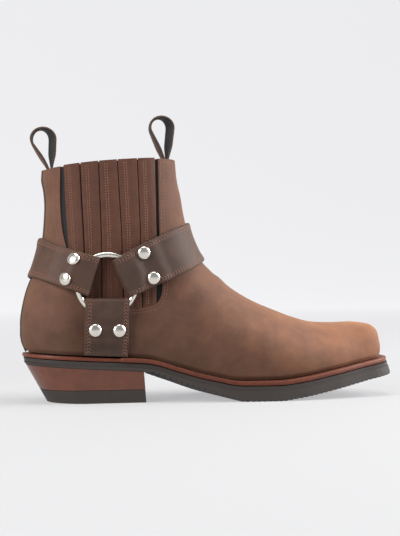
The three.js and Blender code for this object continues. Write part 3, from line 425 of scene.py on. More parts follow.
# Welt: vegetable-tanned leather, its cut edge stained rust brown and burnished, so it has a low gloss
weltLeather = makeLeather("weltLeather", {
    "tones": [(0.0, "#623222"), (0.5, "#5a2d1f"), (1.0, "#6c3a28")],
    "cloud": 12, "mottle": 0.4, "speckle": 4, "uneven": 0.2, "low": 0.85, "gloss": (0.42, 0.58),
    "grain": 1.6, "bump": 0.25, "sheen": 0.0, "nap": "#ffffff",
})
# Insole board: smooth leather board, matt and darkened
insoleLeather = makeLeather("insoleLeather", {
    "tones": [(0.0, "#4a382c"), (1.0, "#54402f")], "cloud": 20, "mottle": 0.4, "speckle": 3, "uneven": 0.08, "low": 1,
    "gloss": (0.7, 0.8), "grain": 1.6, "bump": 0.15, "sheen": 0.0, "nap": "#ffffff",
})


# Stacked heel: leather lifts glued together, sanded, stained rust brown and waxed. The glue lines show
# as fine level lines, and the sanded side has a low gloss.
def makeStack():
    material, tree, shader = newMaterial("stackLeather")
    place = addNode(tree, "ShaderNodeTexCoord").outputs["Object"]
    lineGap = 1.7
    bands = addNode(tree, "ShaderNodeTexWave", {
        "bands_direction": "Z", "Scale": 2 * math.pi / (20 * lineGap / 1000), "Distortion": 0.6, "Detail": 2.0,
    }, {"Vector": place}).outputs["Fac"]
    cloud = millimetreNoise(tree, place, 9)
    mixed = addNode(tree, "ShaderNodeMath", {"operation": "MULTIPLY_ADD", 1: 0.25}, {0: bands, 2: cloud})
    tones = addNode(tree, "ShaderNodeValToRGB", links={"Fac": mixed.outputs[0]})
    setStops(tones, [(0.2, "#472516"), (0.6, "#552b1a"), (1.0, "#653521")])
    tree.links.new(tones.outputs["Color"], shader.inputs["Base Color"])
    bump = addNode(tree, "ShaderNodeBump", {"Strength": 0.12, "Distance": 0.0002}, {"Height": bands})
    tree.links.new(bump.outputs[0], shader.inputs["Normal"])
    shader.inputs["Roughness"].default_value = 0.42
    shader.inputs["Coat Weight"].default_value = 0.15
    shader.inputs["Coat Roughness"].default_value = 0.3
    return material


# A finish of one colour with a fine unevenness in gloss and surface
def makeUneven(name, colour, gloss, width, bumpStrength, metallic=0.0):
    material, tree, shader = newMaterial(name)
    place = addNode(tree, "ShaderNodeTexCoord").outputs["Object"]
    noise = millimetreNoise(tree, place, width)
    roughness = addNode(tree, "ShaderNodeMapRange", {"To Min": gloss[0], "To Max": gloss[1]}, {"Value": noise}).outputs[0]
    tree.links.new(roughness, shader.inputs["Roughness"])
    bump = addNode(tree, "ShaderNodeBump", {"Strength": bumpStrength, "Distance": 0.0002}, {"Height": noise})
    tree.links.new(bump.outputs[0], shader.inputs["Normal"])
    shader.inputs["Base Color"].default_value = toLinear(colour)
    shader.inputs["Metallic"].default_value = metallic
    return material


stackLeather = makeStack()
# Moulded rubber: dull and dark, with the mould's slight unevenness
soleRubber = makeUneven("soleRubber", "#2b2420", (0.66, 0.84), 3, 0.4)
# Kip lining: thin brushed leather, black and matt
lining = makeUneven("lining", "#171312", (0.8, 0.95), 2, 0.3)
# Seam bead and loop lining: smooth black leather
blackTrim = makeUneven("blackTrim", "#12100f", (0.6, 0.8), 2, 0.2)
# Elastic web: black woven rubber thread, matt
elasticWeb = makeUneven("elasticWeb", "#0e0d0d", (0.85, 0.95), 1.5, 0.6)
# Waxed cotton thread: reddish brown on the straps and seams, nearly black on the welt
cottonThread = makeUneven("cottonThread", "#633c29", (0.55, 0.7), 1.5, 0.2)
stripThread = makeUneven("stripThread", "#67402d", (0.55, 0.7), 1.5, 0.2)
darkThread = makeUneven("darkThread", "#2c1a13", (0.6, 0.75), 1.5, 0.2)
# Nickel plate on brass and steel: tumbled bright, with faint handling marks
nickel = makeUneven("nickel", "#e2ddd3", (0.2, 0.3), 5, 0.03, 1.0)

sides = {"lateral": -1, "medial": 1}

# The gore's window in the side view: along, foot, shaft
windowRows = [
    (0.0843, 1, 1.3), (0.0853, 1, 0.45), (0.0963, 1, 0), (0.1353, 0.65, 0), (0.1783, 0.44, 0),
    (0.2433, 0.445, 0), (0.3013, 0.475, 0), (0.3353, 0.57, 0), (0.3413, 0.74, 0),
    (0.3353, 1, 0.1), (0.3333, 1, 0.7), (0.3333, 1, 1.3),
]


def heightAbove(x, foot, shaft):
    return seat(x) + last["curvedGap"] + foot * last["instepRise"] + shaft * last["shaftRise"]


# The same rounded line through the window's corners as the frame's, with more points
def windowLine(pointsEach=12):
    rows = np.array(windowRows)
    x = rows[:, 0] * last["length"]
    corners = np.stack([x, heightAbove(x, rows[:, 1], rows[:, 2])], 1)
    count = len(corners)
    line = []
    for i in range(count - 1):
        a, b, c, d = (corners[max(i - 1, 0)], corners[i], corners[i + 1], corners[min(i + 2, count - 1)])
        for t in np.arange(pointsEach) / pointsEach:
            v0 = (c - a) / 2
            v1 = (d - b) / 2
            line.append((2 * b - 2 * c + v0 + v1) * t**3 + (3 * c - 3 * b - 2 * v0 - v1) * t**2 + v0 * t + b)
    line.append(corners[-1])
    return np.array(line)


window = windowLine()


# Line moved outwards, away from the window's middle
def growWindow(amount):
    tangent = np.gradient(window, axis=0)
    out = np.stack([tangent[:, 1], -tangent[:, 0]], 1)
    out /= np.linalg.norm(out, axis=1, keepdims=True)
    middle = np.array([window[:, 0].mean(), window[:, 1].max()])
    if np.sum(out * (window - middle)) < 0:
        out = -out
    return window + out * amount


# Which points of the side view lie in the window, and the nearest point on its line
def insideWindow(places):
    x, z = places[:, 0], places[:, 1]
    inside = np.zeros(len(places), bool)
    closed = np.concatenate([window, window[:1]])
    for (x0, z0), (x1, z1) in zip(closed[:-1], closed[1:]):
        if z0 == z1:
            continue
        crosses = (z0 > z) != (z1 > z)
        inside ^= crosses & (x < (x1 - x0) * (z - z0) / (z1 - z0) + x0)
    return inside


def nearestOnWindow(places):
    best = np.full(len(places), 1e9)
    nearest = places.copy()
    for a, b in zip(window[:-1], window[1:]):
        away = b - a
        t = np.clip(((places - a) @ away) / (away @ away), 0, 1)
        point = a + t[:, None] * away
        distance = np.linalg.norm(places - point, axis=1)
        closer = distance < best
        best[closer] = distance[closer]
        nearest[closer] = point[closer]
    return nearest, best


# Creases: soft troughs, or ridges where the depth is negative, from one place in the side view to
# another: x and z of both ends, depth and width
creases = [
    (168, 68, 150, 46, 0.5, 5), (181, 64, 168, 42, 0.45, 5), (192, 60, 184, 40, 0.3, 4.5),
    (174, 66, 160, 44, -0.3, 4), (118, 96, 104, 72, 0.45, 6), (128, 90, 118, 62, 0.35, 5),
    (34, 60, 52, 48, 0.3, 5), (20, 52, 36, 40, 0.25, 5),
]


def creaseDepth(points):
    depth = np.zeros(points.shape[:-1])
    for x0, z0, x1, z1, deep, width in creases:
        run = np.array([x1 - x0, z1 - z0], float)
        length = np.linalg.norm(run)
        offset = points[..., [0, 2]] - [x0, z0]
        t = np.clip(offset @ run / length**2, -0.2, 1.2)
        away = np.linalg.norm(offset - t[..., None] * run, axis=-1)
        ends = smoothstep(t, -0.2, 0.35) * (1 - smoothstep(t, 0.65, 1.2))
        depth += deep * ends * np.exp(-(away / width) ** 2)
    return depth


# Upper: one hollow body of leather over the last, open at the collar, at the gores and underneath
# and drawn in a little at the feather line, where it is pulled round the last
upper = {"rows": 150, "columns": 300, "tuck": 1.5, "tuckTop": 0.4}


def makeUpper():
    rows, columns = upper["rows"], upper["columns"]
    step, turn = np.meshgrid(np.linspace(0, lastStep, rows), np.arange(columns) / columns, indexing="ij")
    outer = lastPoint(step, turn)
    normals = gridNormals(outer, wrap=True)
    tuck = upper["tuck"] * (1 - smoothstep(step, 0, upper["tuckTop"]))
    outer = outer - normals * (creaseDepth(outer) + tuck)[..., None]
    places = outer.reshape(-1, 3)
    sideOf = np.where(turn.reshape(-1) > 0.5, 1, -1)
    faces = gridFaces(rows, columns, wrap=True)
    middles = places[faces].mean(1)
    kept = ~insideWindow(middles[:, [0, 2]]) | (np.abs(middles[:, 1]) < last["shaftWidth"] / 8)
    removed = np.zeros(len(places), bool)
    removed[faces[~kept].ravel()] = True
    faces = faces[kept]
    onEdge = np.zeros(len(places), bool)
    onEdge[faces.ravel()] = True
    onEdge &= removed
    index = np.where(onEdge)[0]
    nearest, _ = nearestOnWindow(places[index][:, [0, 2]])
    collar = index >= (rows - 1) * columns
    nearest[collar, 1] = places[index[collar], 2]
    moved = sidePoint(nearest[:, 0], nearest[:, 1], sideOf[index])
    places[index] = moved
    outer = places.reshape(rows, columns, 3)
    upper["outer"] = outer
    upper["normals"] = normals
    flatNormals = normals.reshape(-1, 3)
    inner = places - flatNormals * (last["upperWall"] - tuck.reshape(-1, 1))
    edges = np.sort(np.concatenate([faces[:, [k, (k + 1) % 4]] for k in range(4)]), axis=1)
    directed = np.concatenate([faces[:, [k, (k + 1) % 4]] for k in range(4)])
    keys = edges[:, 0] * len(places) + edges[:, 1]
    unique, first, counts = np.unique(keys, return_index=True, return_counts=True)
    rim = directed[first[counts == 1]]
    used = np.zeros(len(places), bool)
    used[faces.ravel()] = True
    renumber = np.cumsum(used) - 1
    count = int(used.sum())
    points = np.concatenate([places[used], inner[used]])
    outside = renumber[faces]
    inside = renumber[faces][:, ::-1] + count
    a, b = renumber[rim[:, 0]], renumber[rim[:, 1]]
    wall = np.stack([b, a, a + count, b + count], 1)
    allFaces = np.concatenate([outside, inside, wall])
    finishes = np.concatenate([np.zeros(len(outside)), np.ones(len(inside)), np.zeros(len(wall))])
    mesh = buildMesh("upper", points, allFaces, finishes)
    return linkPiece("upperShell", mesh, [oiledLeather, lining], ["upper"])


makeUpper()
print("upper made")

# Back seam: a black bead over the closed seam
piping = {"width": 2.6, "height": 0.45}


def makePiping():
    steps = np.linspace(0, lastStep, 150)
    probe = 0.01
    reach = np.linalg.norm(lastPoint(steps, np.full(150, probe)) - lastPoint(steps, np.zeros(150)), axis=1) / probe
    shares = np.linspace(-1, 1, 9)
    turn = shares[None, :] * (piping["width"] / 2) / reach[:, None]
    grid = lastPoint(np.repeat(steps[:, None], 9, 1), turn - np.floor(turn))
    normals = gridNormals(grid)
    normals *= np.where(normals[..., 0:1] > 0, -1, 1)
    height = piping["height"] * np.sqrt(np.maximum(1 - shares**2, 0))[None, :, None]
    top = grid + normals * height
    bottom = grid[:, ::-1] - normals[:, ::-1] * 0.6
    points, faces = loopBody(np.concatenate([top, bottom], 1))
    mesh = buildMesh("backPiping", points, faces)
    return linkPiece("backPiping", mesh, [blackTrim], ["back_piping"])


makePiping()

# Gore: elastic, and five narrow leather strips on it
gore = {"elasticThickness": 0.75, "stripThickness": 0.8, "gap": 0.7, "under": 3.0, "over": 0.7}
stripBorders = [
    (0.0856, 0.1), (0.1239, 0.1377), (0.1707, 0.1808), (0.2175, 0.2343),
    (0.2714, 0.2833), (0.3233, 0.3263),
]
collarBack = sectionEnd(lastStep, "back")
collarFront = sectionEnd(lastStep, "front")


def collarHeight(x):
    share = np.clip((x - collarBack[0]) / (collarFront[0] - collarBack[0]), 0, 1)
    return lerp(collarBack[2], collarFront[2], share) + collarLift(lastStep, share)


def borderAt(border, z):
    ankle = heightAbove(0, 1, 0)
    collar = heightAbove(0, 1, 1)
    return lerp(border[1], border[0], (z - ankle) / (collar - ankle)) * last["length"]


# The lowest height at which a leaning line is still in the window, coming down from the collar
def lowestInWindow(xAt):
    heights = np.linspace(200, 60, 700)
    x = xAt(heights)
    below = heights < collarHeight(x) - 0.5
    inside = insideWindow(np.stack([x, heights], 1))
    out = np.where(below & ~inside)[0]
    return heights[out[0]] if len(out) else heights[-1]


def sheetBody(point, normal, top, bottom):
    upperFace = point + normal * top[..., None]
    lowerFace = (point + normal * bottom[..., None])[:, ::-1]
    return loopBody(np.concatenate([upperFace, lowerFace], 1))


def makeGore(sideName, side):
    lowest = window[:, 1].min()
    v = np.linspace(0, 1, 60)
    lowestAt = window[np.argmin(window[:, 1])]
    backHalf = window[:np.argmin(window[:, 1]) + 1][::-1]
    frontHalf = window[np.argmin(window[:, 1]):]
    z = lerp(lowest + 0.3, collarHeight(60.0) + 4, v)
    backX = np.interp(z, backHalf[:, 1], backHalf[:, 0]) - gore["under"]
    frontX = np.interp(z, frontHalf[:, 1], frontHalf[:, 0]) + gore["under"]
    u = np.linspace(0, 1, 40)
    x = lerp(backX[:, None], frontX[:, None], u[None, :])
    z = np.minimum(np.repeat(z[:, None], 40, 1), collarHeight(x) - 0.3)
    point, normal = sideFrame(x, z, side)
    floor = -last["upperWall"]
    ones = np.ones_like(x)
    points, faces = sheetBody(point, normal, ones * (floor + gore["elasticThickness"]), ones * floor)
    mesh = buildMesh(f"elastic_{sideName}", points, faces)
    linkPiece(f"elastic_{sideName}", mesh, [elasticWeb], [f"gore_elastic_{sideName}"])
    stripFloor = floor + gore["elasticThickness"] + last["strapGap"]
    across = np.array([0, 0.02, 0.06, 0.14, 0.3, 0.5, 0.62, 0.68, 0.74, 0.8, 0.88, 0.94, 0.98, 1])
    crown = np.array([0.35, 0.7, 0.92, 1, 1, 1, 1.02, 1.2, 1.2, 1.02, 1, 0.92, 0.7, 0.35])
    for i in range(len(stripBorders) - 1):
        z = np.zeros((70, len(across)))
        x = np.zeros_like(z)
        for j, share in enumerate(across):
            def xAt(height):
                left = borderAt(stripBorders[i], height) + gore["gap"] / 2
                right = borderAt(stripBorders[i + 1], height) - gore["gap"] / 2
                return lerp(left, right, share)
            low = lowestInWindow(xAt) - 1.0
            high = collarHeight(xAt(190.0)) + gore["over"]
            z[:, j] = np.linspace(low, high, 70)
            x[:, j] = xAt(z[:, j])
        point, normal = sideFrame(x, z, side)
        top = stripFloor + gore["stripThickness"] * np.broadcast_to(crown, x.shape)
        points, faces = sheetBody(point, normal, top, np.full_like(x, stripFloor))
        name = f"goreStrip_{sideName}_{i + 1}"
        mesh = buildMesh(name, points, faces)
        linkPiece(name, mesh, [stripLeather], [f"gore_strip_{sideName}_{i + 1}"])


for sideName, side in sides.items():
    makeGore(sideName, side)
print("gores made")

# Harness: rings, wrapped straps, drop straps and rivets
ring = {"diameter": 49.0, "wire": 4.5, "along": 57.8, "height": 90.0, "standoff": 3.6}
strap = {"thickness": 2.5, "folded": 2.2, "reach": 31.0, "settle": 9.0, "cover": 1.8, "edge": 0.9}
rivet = {"diameter": 10.0, "dome": 2.4, "edge": 6.3, "dropInset": 7.5, "dropHeight": 55.3}
dropStrap = {"width": 33.5, "top": 79.4}
# low and high edge: ridge height, tip along and tip height as shares of the ring, and bend
wrapStraps = {
    "rear_strap": {"end": "back", "rivets": (0.68, 0.7),
                   "low": (0.092, -0.286, -0.194, 0.95), "high": (0.708, -0.106, 0.412, 0.62)},
    "front_strap": {"end": "front", "rivets": (0.79, 0.79),
                    "low": (0.357, 0.337, -0.206, 1.05), "high": (0.953, 0.065, 0.367, 1.3)},
}
ringRadius = (ring["diameter"] - ring["wire"]) / 2


def unit(vector):
    return vector / np.linalg.norm(vector)


def ringPlane(side):
    rim = [sidePoint(ring["along"] + dx * ringRadius, ring["height"] + dz * ringRadius, side)
           for dx, dz in ((1, 0), (-1, 0), (0, 1), (0, -1))]
    normal = unit(np.cross(rim[0] - rim[1], rim[2] - rim[3]))
    if normal[1] * side < 0:
        normal = -normal
    return np.mean(rim, 0) + normal * ring["standoff"], normal


ringPlanes = {side: ringPlane(side) for side in sides.values()}


def strapOffset(point, normal, side, fromTip):
    centre = np.where(side[..., None] > 0, ringPlanes[1][0], ringPlanes[-1][0])
    axis = np.where(side[..., None] > 0, ringPlanes[1][1], ringPlanes[-1][1])
    folded = 1 - smoothstep(fromTip, strap["reach"], strap["reach"] + strap["settle"])
    plain = last["strapGap"] + strap["thickness"] + strap["folded"] * folded
    toRing = centre - point
    alongAxis = np.sum(toRing * axis, -1)
    outward = alongAxis / np.maximum(np.sum(normal * axis, -1), 0.5)
    over = outward + ring["wire"] / 2 + last["gap"] + strap["cover"]
    inPlane = np.linalg.norm(toRing - axis * alongAxis[..., None], axis=-1)
    rim = ringRadius + ring["wire"] / 2 + last["gap"]
    near = 1 - smoothstep(inPlane, rim, rim + strap["settle"])
    return np.maximum(plain, lerp(plain, over, near))


def ridgeAt(end, z):
    low = np.full(np.shape(z), 8.0)
    high = np.full(np.shape(z), float(lastStep))
    for _ in range(40):
        middle = (low + high) / 2
        below = sectionEnd(middle, end)[2] < z
        low = np.where(below, middle, low)
        high = np.where(below, high, middle)
    return sectionEnd(low, end)[0]


def wrapPoint(shape, around, across):
    low, high = (np.array(shape[key]) * [ring["diameter"], ring["diameter"], ring["diameter"], 1]
                 for key in ("low", "high"))
    ridgeZ = ring["height"] + lerp(low[0], high[0], across)
    tipX = ring["along"] + lerp(low[1], high[1], across)
    tipZ = ring["height"] + lerp(low[2], high[2], across)
    share = 1 - np.cos(np.abs(around) * math.pi / 2)
    x = lerp(ridgeAt(shape["end"], ridgeZ), tipX, share)
    z = lerp(ridgeZ, tipZ, share ** lerp(low[3], high[3], across))
    return sidePoint(x, z, np.where(around > 0, 1, -1))


# Places across a strap that lie close together at its two edges
def edgedPlaces(inner, rounding):
    edge = rounding * np.array([0, 0.12, 0.35, 0.65, 1])
    return np.concatenate([edge, np.linspace(rounding, 1 - rounding, inner)[1:-1], 1 - edge[::-1]])


# How far the face is drawn in near an edge: 0 at the edge itself, 1 a rounding away
def roundedEdge(distance, rounding):
    inside = np.clip(distance / rounding, 0, 1)
    return np.sqrt(np.maximum(1 - (1 - inside) ** 2, 0))


def strapSheet(point, normal, side, fromTip, fromEdge, bluntTip):
    offset = strapOffset(point, normal, side, fromTip)
    edge = strap["edge"] * (1 - roundedEdge(fromEdge, strap["edge"]))
    thickness = offset - last["strapGap"]
    fold = roundedEdge(fromTip, 2.4) if bluntTip else 1
    top = last["strapGap"] + np.maximum((thickness - edge) * fold, 0.05)
    bottom = np.full_like(top, last["strapGap"]) + 0.5 * edge
    return top, np.minimum(bottom, top - 0.02)


strapFaces = {}


def makeWrapStrap(node, shape):
    tips = 1 - np.array([0, 0.002, 0.006, 0.012, 0.02, 0.03, 0.042, 0.056])
    half = np.concatenate([tips, np.linspace(0.94, 0, 64)])
    around = np.concatenate([-half, half[::-1][1:]])
    width = np.linalg.norm(wrapPoint(shape, np.array(0.5), np.array(0.0)) - wrapPoint(shape, np.array(0.5), np.array(1.0)))
    across = edgedPlaces(14, strap["edge"] / width)
    u, v = np.meshgrid(around, across, indexing="ij")
    point = wrapPoint(shape, u, v)
    normal = gridNormals(point)
    centre = np.array([ring["along"], 0, 0])
    fromMiddle = point - centre
    fromMiddle[..., 2] = 0
    normal *= np.where(np.sum(normal * fromMiddle, -1, keepdims=True) < 0, -1, 1)
    side = np.where(u > 0, 1, -1)
    lengths = np.linalg.norm(np.diff(point, axis=0), axis=-1)
    run = np.concatenate([np.zeros((1, point.shape[1])), np.cumsum(lengths, 0)])
    fromTip = np.minimum(run, run[-1:] - run)
    fromEdge = np.minimum(v, 1 - v) * width
    top, bottom = strapSheet(point, normal, side, fromTip, fromEdge, True)
    points, faces = sheetBody(point, normal, top, bottom)
    mesh = buildMesh(node, points, faces)
    linkPiece(node.replace("_s", "S"), mesh, [strapLeather], [node])
    strapFaces[node] = (point + normal * top[..., None], normal, around, across, width)


def makeDropStrap(sideName, side):
    foot = seat(ring["along"]) + 2 * last["curvedGap"]
    ends = np.array([0, 0.002, 0.006, 0.012, 0.022, 0.034, 0.05])
    up = np.concatenate([np.linspace(0, 0.94, 60), 1 - ends[::-1]])
    across = edgedPlaces(14, strap["edge"] / dropStrap["width"])
    u, v = np.meshgrid(up, across, indexing="ij")
    x = ring["along"] + (v - 0.5) * dropStrap["width"]
    z = lerp(seat(x) + 2 * last["curvedGap"], dropStrap["top"], u)
    point, normal = sideFrame(x, z, side)
    fromTip = np.linalg.norm(point - point[-1:], axis=-1)
    fromEdge = np.minimum(v, 1 - v) * dropStrap["width"]
    top, bottom = strapSheet(point, normal, np.full(x.shape, side), fromTip, fromEdge, True)
    points, faces = sheetBody(point, normal, top, bottom)
    mesh = buildMesh(f"dropStrap_{sideName}", points, faces)
    linkPiece(f"dropStrap_{sideName}", mesh, [strapLeather], [f"drop_strap_{sideName}"])
    strapFaces[f"drop_{sideName}"] = (point + normal * top[..., None], normal, up, across, dropStrap["width"])


# Axes square to a normal
def axesOf(normal):
    first = unit(np.cross(normal, [0, 0, 1.0]))
    return first, np.cross(normal, first)


def makeRing(sideName, side):
    centre, axis = ringPlanes[side]
    first, second = axesOf(axis)
    around = np.linspace(0, 2 * math.pi, 97)[:-1]
    wire = np.linspace(0, 2 * math.pi, 25)[:-1]
    a, b = np.meshgrid(around, wire, indexing="ij")
    radius = ringRadius + ring["wire"] / 2 * np.cos(b)
    spoke = np.cos(a)[..., None] * first + np.sin(a)[..., None] * second
    grid = centre + spoke * radius[..., None] + axis * (ring["wire"] / 2 * np.sin(b))[..., None]
    closed = np.concatenate([grid, grid[:1]])
    faces = gridFaces(96, 24, wrap=True)
    seam = np.arange(24)
    following = (seam + 1) % 24
    lastRow = np.stack([95 * 24 + seam, 95 * 24 + following, following, seam], 1)
    mesh = buildMesh(f"ring_{sideName}", grid, np.concatenate([faces, lastRow]))
    linkPiece(f"ringRound_{sideName}", mesh, [nickel], [f"ring_{sideName}"])


def makeRivet(node, faceKey, rowPlace, distance, fromLow):
    face, _, rows, across, width = strapFaces[faceKey]
    row = np.interp(rowPlace, rows, np.arange(len(rows)))
    share = distance / width if fromLow else 1 - distance / width
    column = np.interp(share, across, np.arange(len(across)))
    point = readGrid(face, np.array(row), np.array(column))
    away = 1.5
    alongRow = readGrid(face, np.array(row + away), np.array(column)) - readGrid(face, np.array(row - away), np.array(column))
    alongColumn = readGrid(face, np.array(row), np.array(column + away)) - readGrid(face, np.array(row), np.array(column - away))
    normal = unit(np.cross(alongRow, alongColumn))
    if np.dot(normal, readGrid(strapFaces[faceKey][1], np.array(row), np.array(column))) < 0:
        normal = -normal
    first, second = axesOf(normal)
    radius = rivet["diameter"] / 2
    rim = 0.35
    angles = np.linspace(0, math.pi / 2, 11)
    outline = [(radius * 0.985, -0.6), (radius, -0.1), (radius, rim * 0.6)]
    outline += [(radius * 0.985 * math.cos(t), rim + (rivet["dome"] - rim) * math.sin(t)) for t in angles[:-1]]
    outline.append((0.02, rivet["dome"]))
    turn = np.linspace(0, 2 * math.pi, 49)[:-1]
    spoke = np.cos(turn)[:, None] * first + np.sin(turn)[:, None] * second
    loops = [point + spoke * r + normal * (h + 0.15) for r, h in outline]
    points, faces = loopBody(loops)
    mesh = buildMesh(node, points, faces)
    linkPiece(node.replace("rivet", "rivetCap"), mesh, [nickel], [node])


for node, shape in wrapStraps.items():
    makeWrapStrap(node, shape)
    for sideName, side in sides.items():
        for level, low, around in zip(("low", "high"), (True, False), shape["rivets"]):
            short = node.replace("_strap", "")
            makeRivet(f"rivet_{short}_{sideName}_{level}", node, side * around, rivet["edge"], low)
for sideName, side in sides.items():
    makeRing(sideName, side)
    makeDropStrap(sideName, side)
    foot = seat(ring["along"]) + 2 * last["curvedGap"]
    up = (rivet["dropHeight"] - foot) / (dropStrap["top"] - foot)
    makeRivet(f"rivet_drop_{sideName}_back", f"drop_{sideName}", up, rivet["dropInset"], True)
    makeRivet(f"rivet_drop_{sideName}_front", f"drop_{sideName}", up, rivet["dropInset"], False)
print("harness made")

# Pull loops: a folded strip, leather outside and black inside
pullLoop = {"width": 16.0, "strip": 2.0, "tail": 12.0, "span": 18.5,
            "twist": (14, -4), "neckTwist": 13, "back": {"height": 33.0, "lean": 6.5}, "front": {"height": 36.0, "lean": 4.5}}


def makeLoop(end):
    toMiddle = 1 if end == "back" else -1
    collar = sectionEnd(lastStep, end)
    reach = max(float(sectionEnd(lastStep - back, end)[0]) * toMiddle for back in (0, 0.5, 1, 1.5))
    sag = pullLoop["width"] ** 2 / (4 * last["shaftWidth"])
    strip = pullLoop["strip"]
    tailX = (reach + last["upperWall"] + last["strapGap"] + sag + strip) * toMiddle
    radius = pullLoop["span"] / 2
    size = pullLoop[end]
    top = np.array([tailX - size["lean"], collar[2] + size["height"] - radius])
    neck = np.array([tailX, collar[2] + 2 * last["gap"]])
    away = top - neck
    bearing = math.atan2(away[1], away[0])
    tangent = math.acos((radius - strip / 2) / np.linalg.norm(away))
    angles = bearing - math.pi + tangent + (2 * math.pi - 2 * tangent) * np.linspace(0, 1, 49)
    rim = np.stack([top[0] + (radius - strip / 2) * np.cos(angles), top[1] + (radius - strip / 2) * np.sin(angles)], 1)
    # the first end of the rim is beside whichever side of the neck it starts on
    startSide = 1 if rim[0, 0] > rim[-1, 0] else -1
    low = collar[2] - pullLoop["tail"]

    def tail(sideSign):
        x = tailX + sideSign * strip / 2
        heights = np.linspace(low, neck[1] - 1, 12)
        return np.stack([np.full(12, x), heights], 1)

    def bridge(sideSign, rimEnd):
        start = np.array([tailX + sideSign * strip / 2, neck[1] - 1])
        t = np.linspace(0, 1, 14)[1:-1, None]
        pull = np.array([start[0], start[1] + 1.8])
        return (1 - t) ** 2 * start + 2 * t * (1 - t) * pull + t**2 * rimEnd

    path = np.concatenate([tail(startSide), bridge(startSide, rim[0]), rim,
                           bridge(-startSide, rim[-1])[::-1], tail(-startSide)[::-1]])
    for _ in range(3):
        path[1:-1] = (path[:-2] + 2 * path[1:-1] + path[2:]) / 4
    direction = np.gradient(path, axis=0)
    direction /= np.linalg.norm(direction, axis=1, keepdims=True)
    normal = np.stack([direction[:, 1], -direction[:, 0]], 1)
    if np.sum(normal * (path - path.mean(0))) < 0:
        normal = -normal
    half = pullLoop["width"] / 2
    middleY = float(sidePoint(collar[0], collar[2], 1)[1])
    rounding = 0.7
    edge = np.array([0, 0.12, 0.35, 0.65, 1]) * rounding
    across = np.concatenate([-half + edge, np.linspace(-half + rounding, half - rounding, 6)[1:-1], half - edge[::-1]])
    drop = rounding * (1 - roundedEdge(half - np.abs(across), rounding))
    loops = []
    low0, high0 = path[:, 0].min(), path[:, 0].max()
    for (x, z), (nx, nz) in zip(path, normal):
        lean = math.radians(lerp(pullLoop["twist"][0], pullLoop["twist"][1], float(np.clip((x - low0) / (high0 - low0), 0, 1))))
        lean = lerp(math.radians(pullLoop["neckTwist"]), lean, float(smoothstep(z, collar[2], collar[2] + 14)))
        lean *= float(smoothstep(z, collar[2] - 10, collar[2] - 1))
        run, rise = math.sin(lean), math.cos(lean)
        outside = [(x + nx * (strip / 2 - d) + y * run, middleY + y * rise, z + nz * (strip / 2 - d))
                   for y, d in zip(across, drop)]
        inside = [(x - nx * (strip / 2 - d) + y * run, middleY + y * rise, z - nz * (strip / 2 - d))
                  for y, d in zip(across, drop)]
        loops.append(outside + inside[::-1])
    points, faces = loopBody(loops)
    count = len(across)
    finishes = []
    for face in faces:
        if len(face) > 4:
            finishes.append(0)
        else:
            column = face[0] % (2 * count)
            finishes.append(1 if count <= column < 2 * count - 1 else 0)
    name = f"pullLoop_{end}"
    mesh = buildMesh(name, points, faces, finishes)
    return linkPiece(name, mesh, [strapLeather, blackTrim], [f"pull_loop_{end}"])


makeLoop("back")
makeLoop("front")
print("pull loops made")

# Sole: plan outlines by the turn round the feather line
outlineCount = 960
outlineTurns = np.arange(outlineCount) / outlineCount
featherLine = lastPoint(np.zeros(outlineCount), outlineTurns)[:, :2]


def growLine(line, amounts):
    tangent = np.roll(line, -1, 0) - np.roll(line, 1, 0)
    out = np.stack([tangent[:, 1], -tangent[:, 0]], 1)
    out /= np.linalg.norm(out, axis=1, keepdims=True)
    if np.sum(out * (line - line.mean(0))) < 0:
        out = -out
    return line + out * np.broadcast_to(amounts, len(line))[:, None]


def weltReach(x):
    return lerp(sole["reachHeel"], sole["reachFore"], smoothstep(x / last["length"], 0.25, 0.6))


soleOutline = growLine(featherLine, weltReach(featherLine[:, 0]))


# How far the rubber stands out from the welt's outline at its lower and at its upper edge
def lowerFlare(x):
    along = x / last["length"]
    return sole["toeFlare"] * smoothstep(along, 0.9, 0.98) - sole["backRake"] * (1 - smoothstep(along, 0.01, 0.12))


def upperFlare(x):
    return sole["topFlare"] * smoothstep(x / last["length"], 0.9, 0.98)


lowerOutline = growLine(featherLine, weltReach(featherLine[:, 0]) + lowerFlare(featherLine[:, 0]))
soleBack = lowerOutline[:, 0].min()
soleFront = lowerOutline[:, 0].max()
heel = {"length": 82.1, "slant": 16.6, "forward": 3.4, "taper": 3.5, "topLift": 9.8}
heelBreast = soleBack + heel["length"]


# Across places of an outline's two sides at a place along: the outer and the inner one
def halvesOf(line):
    back = int(np.argmin(line[:, 0]))
    line = np.roll(line, -back, 0)
    front = int(np.argmax(line[:, 0]))
    outer = line[:front + 1]
    inner = np.concatenate([line[front:], line[:1]])[::-1]
    return [lambda x, part=part: np.interp(x, np.maximum.accumulate(part[:, 0]), part[:, 1]) for part in (outer, inner)]


# At the notch the thin strip round the heel seat meets the front welt, which is thicker and prouder
welt = {"notch": 70.0, "proud": 1.0, "thinner": 0.6}


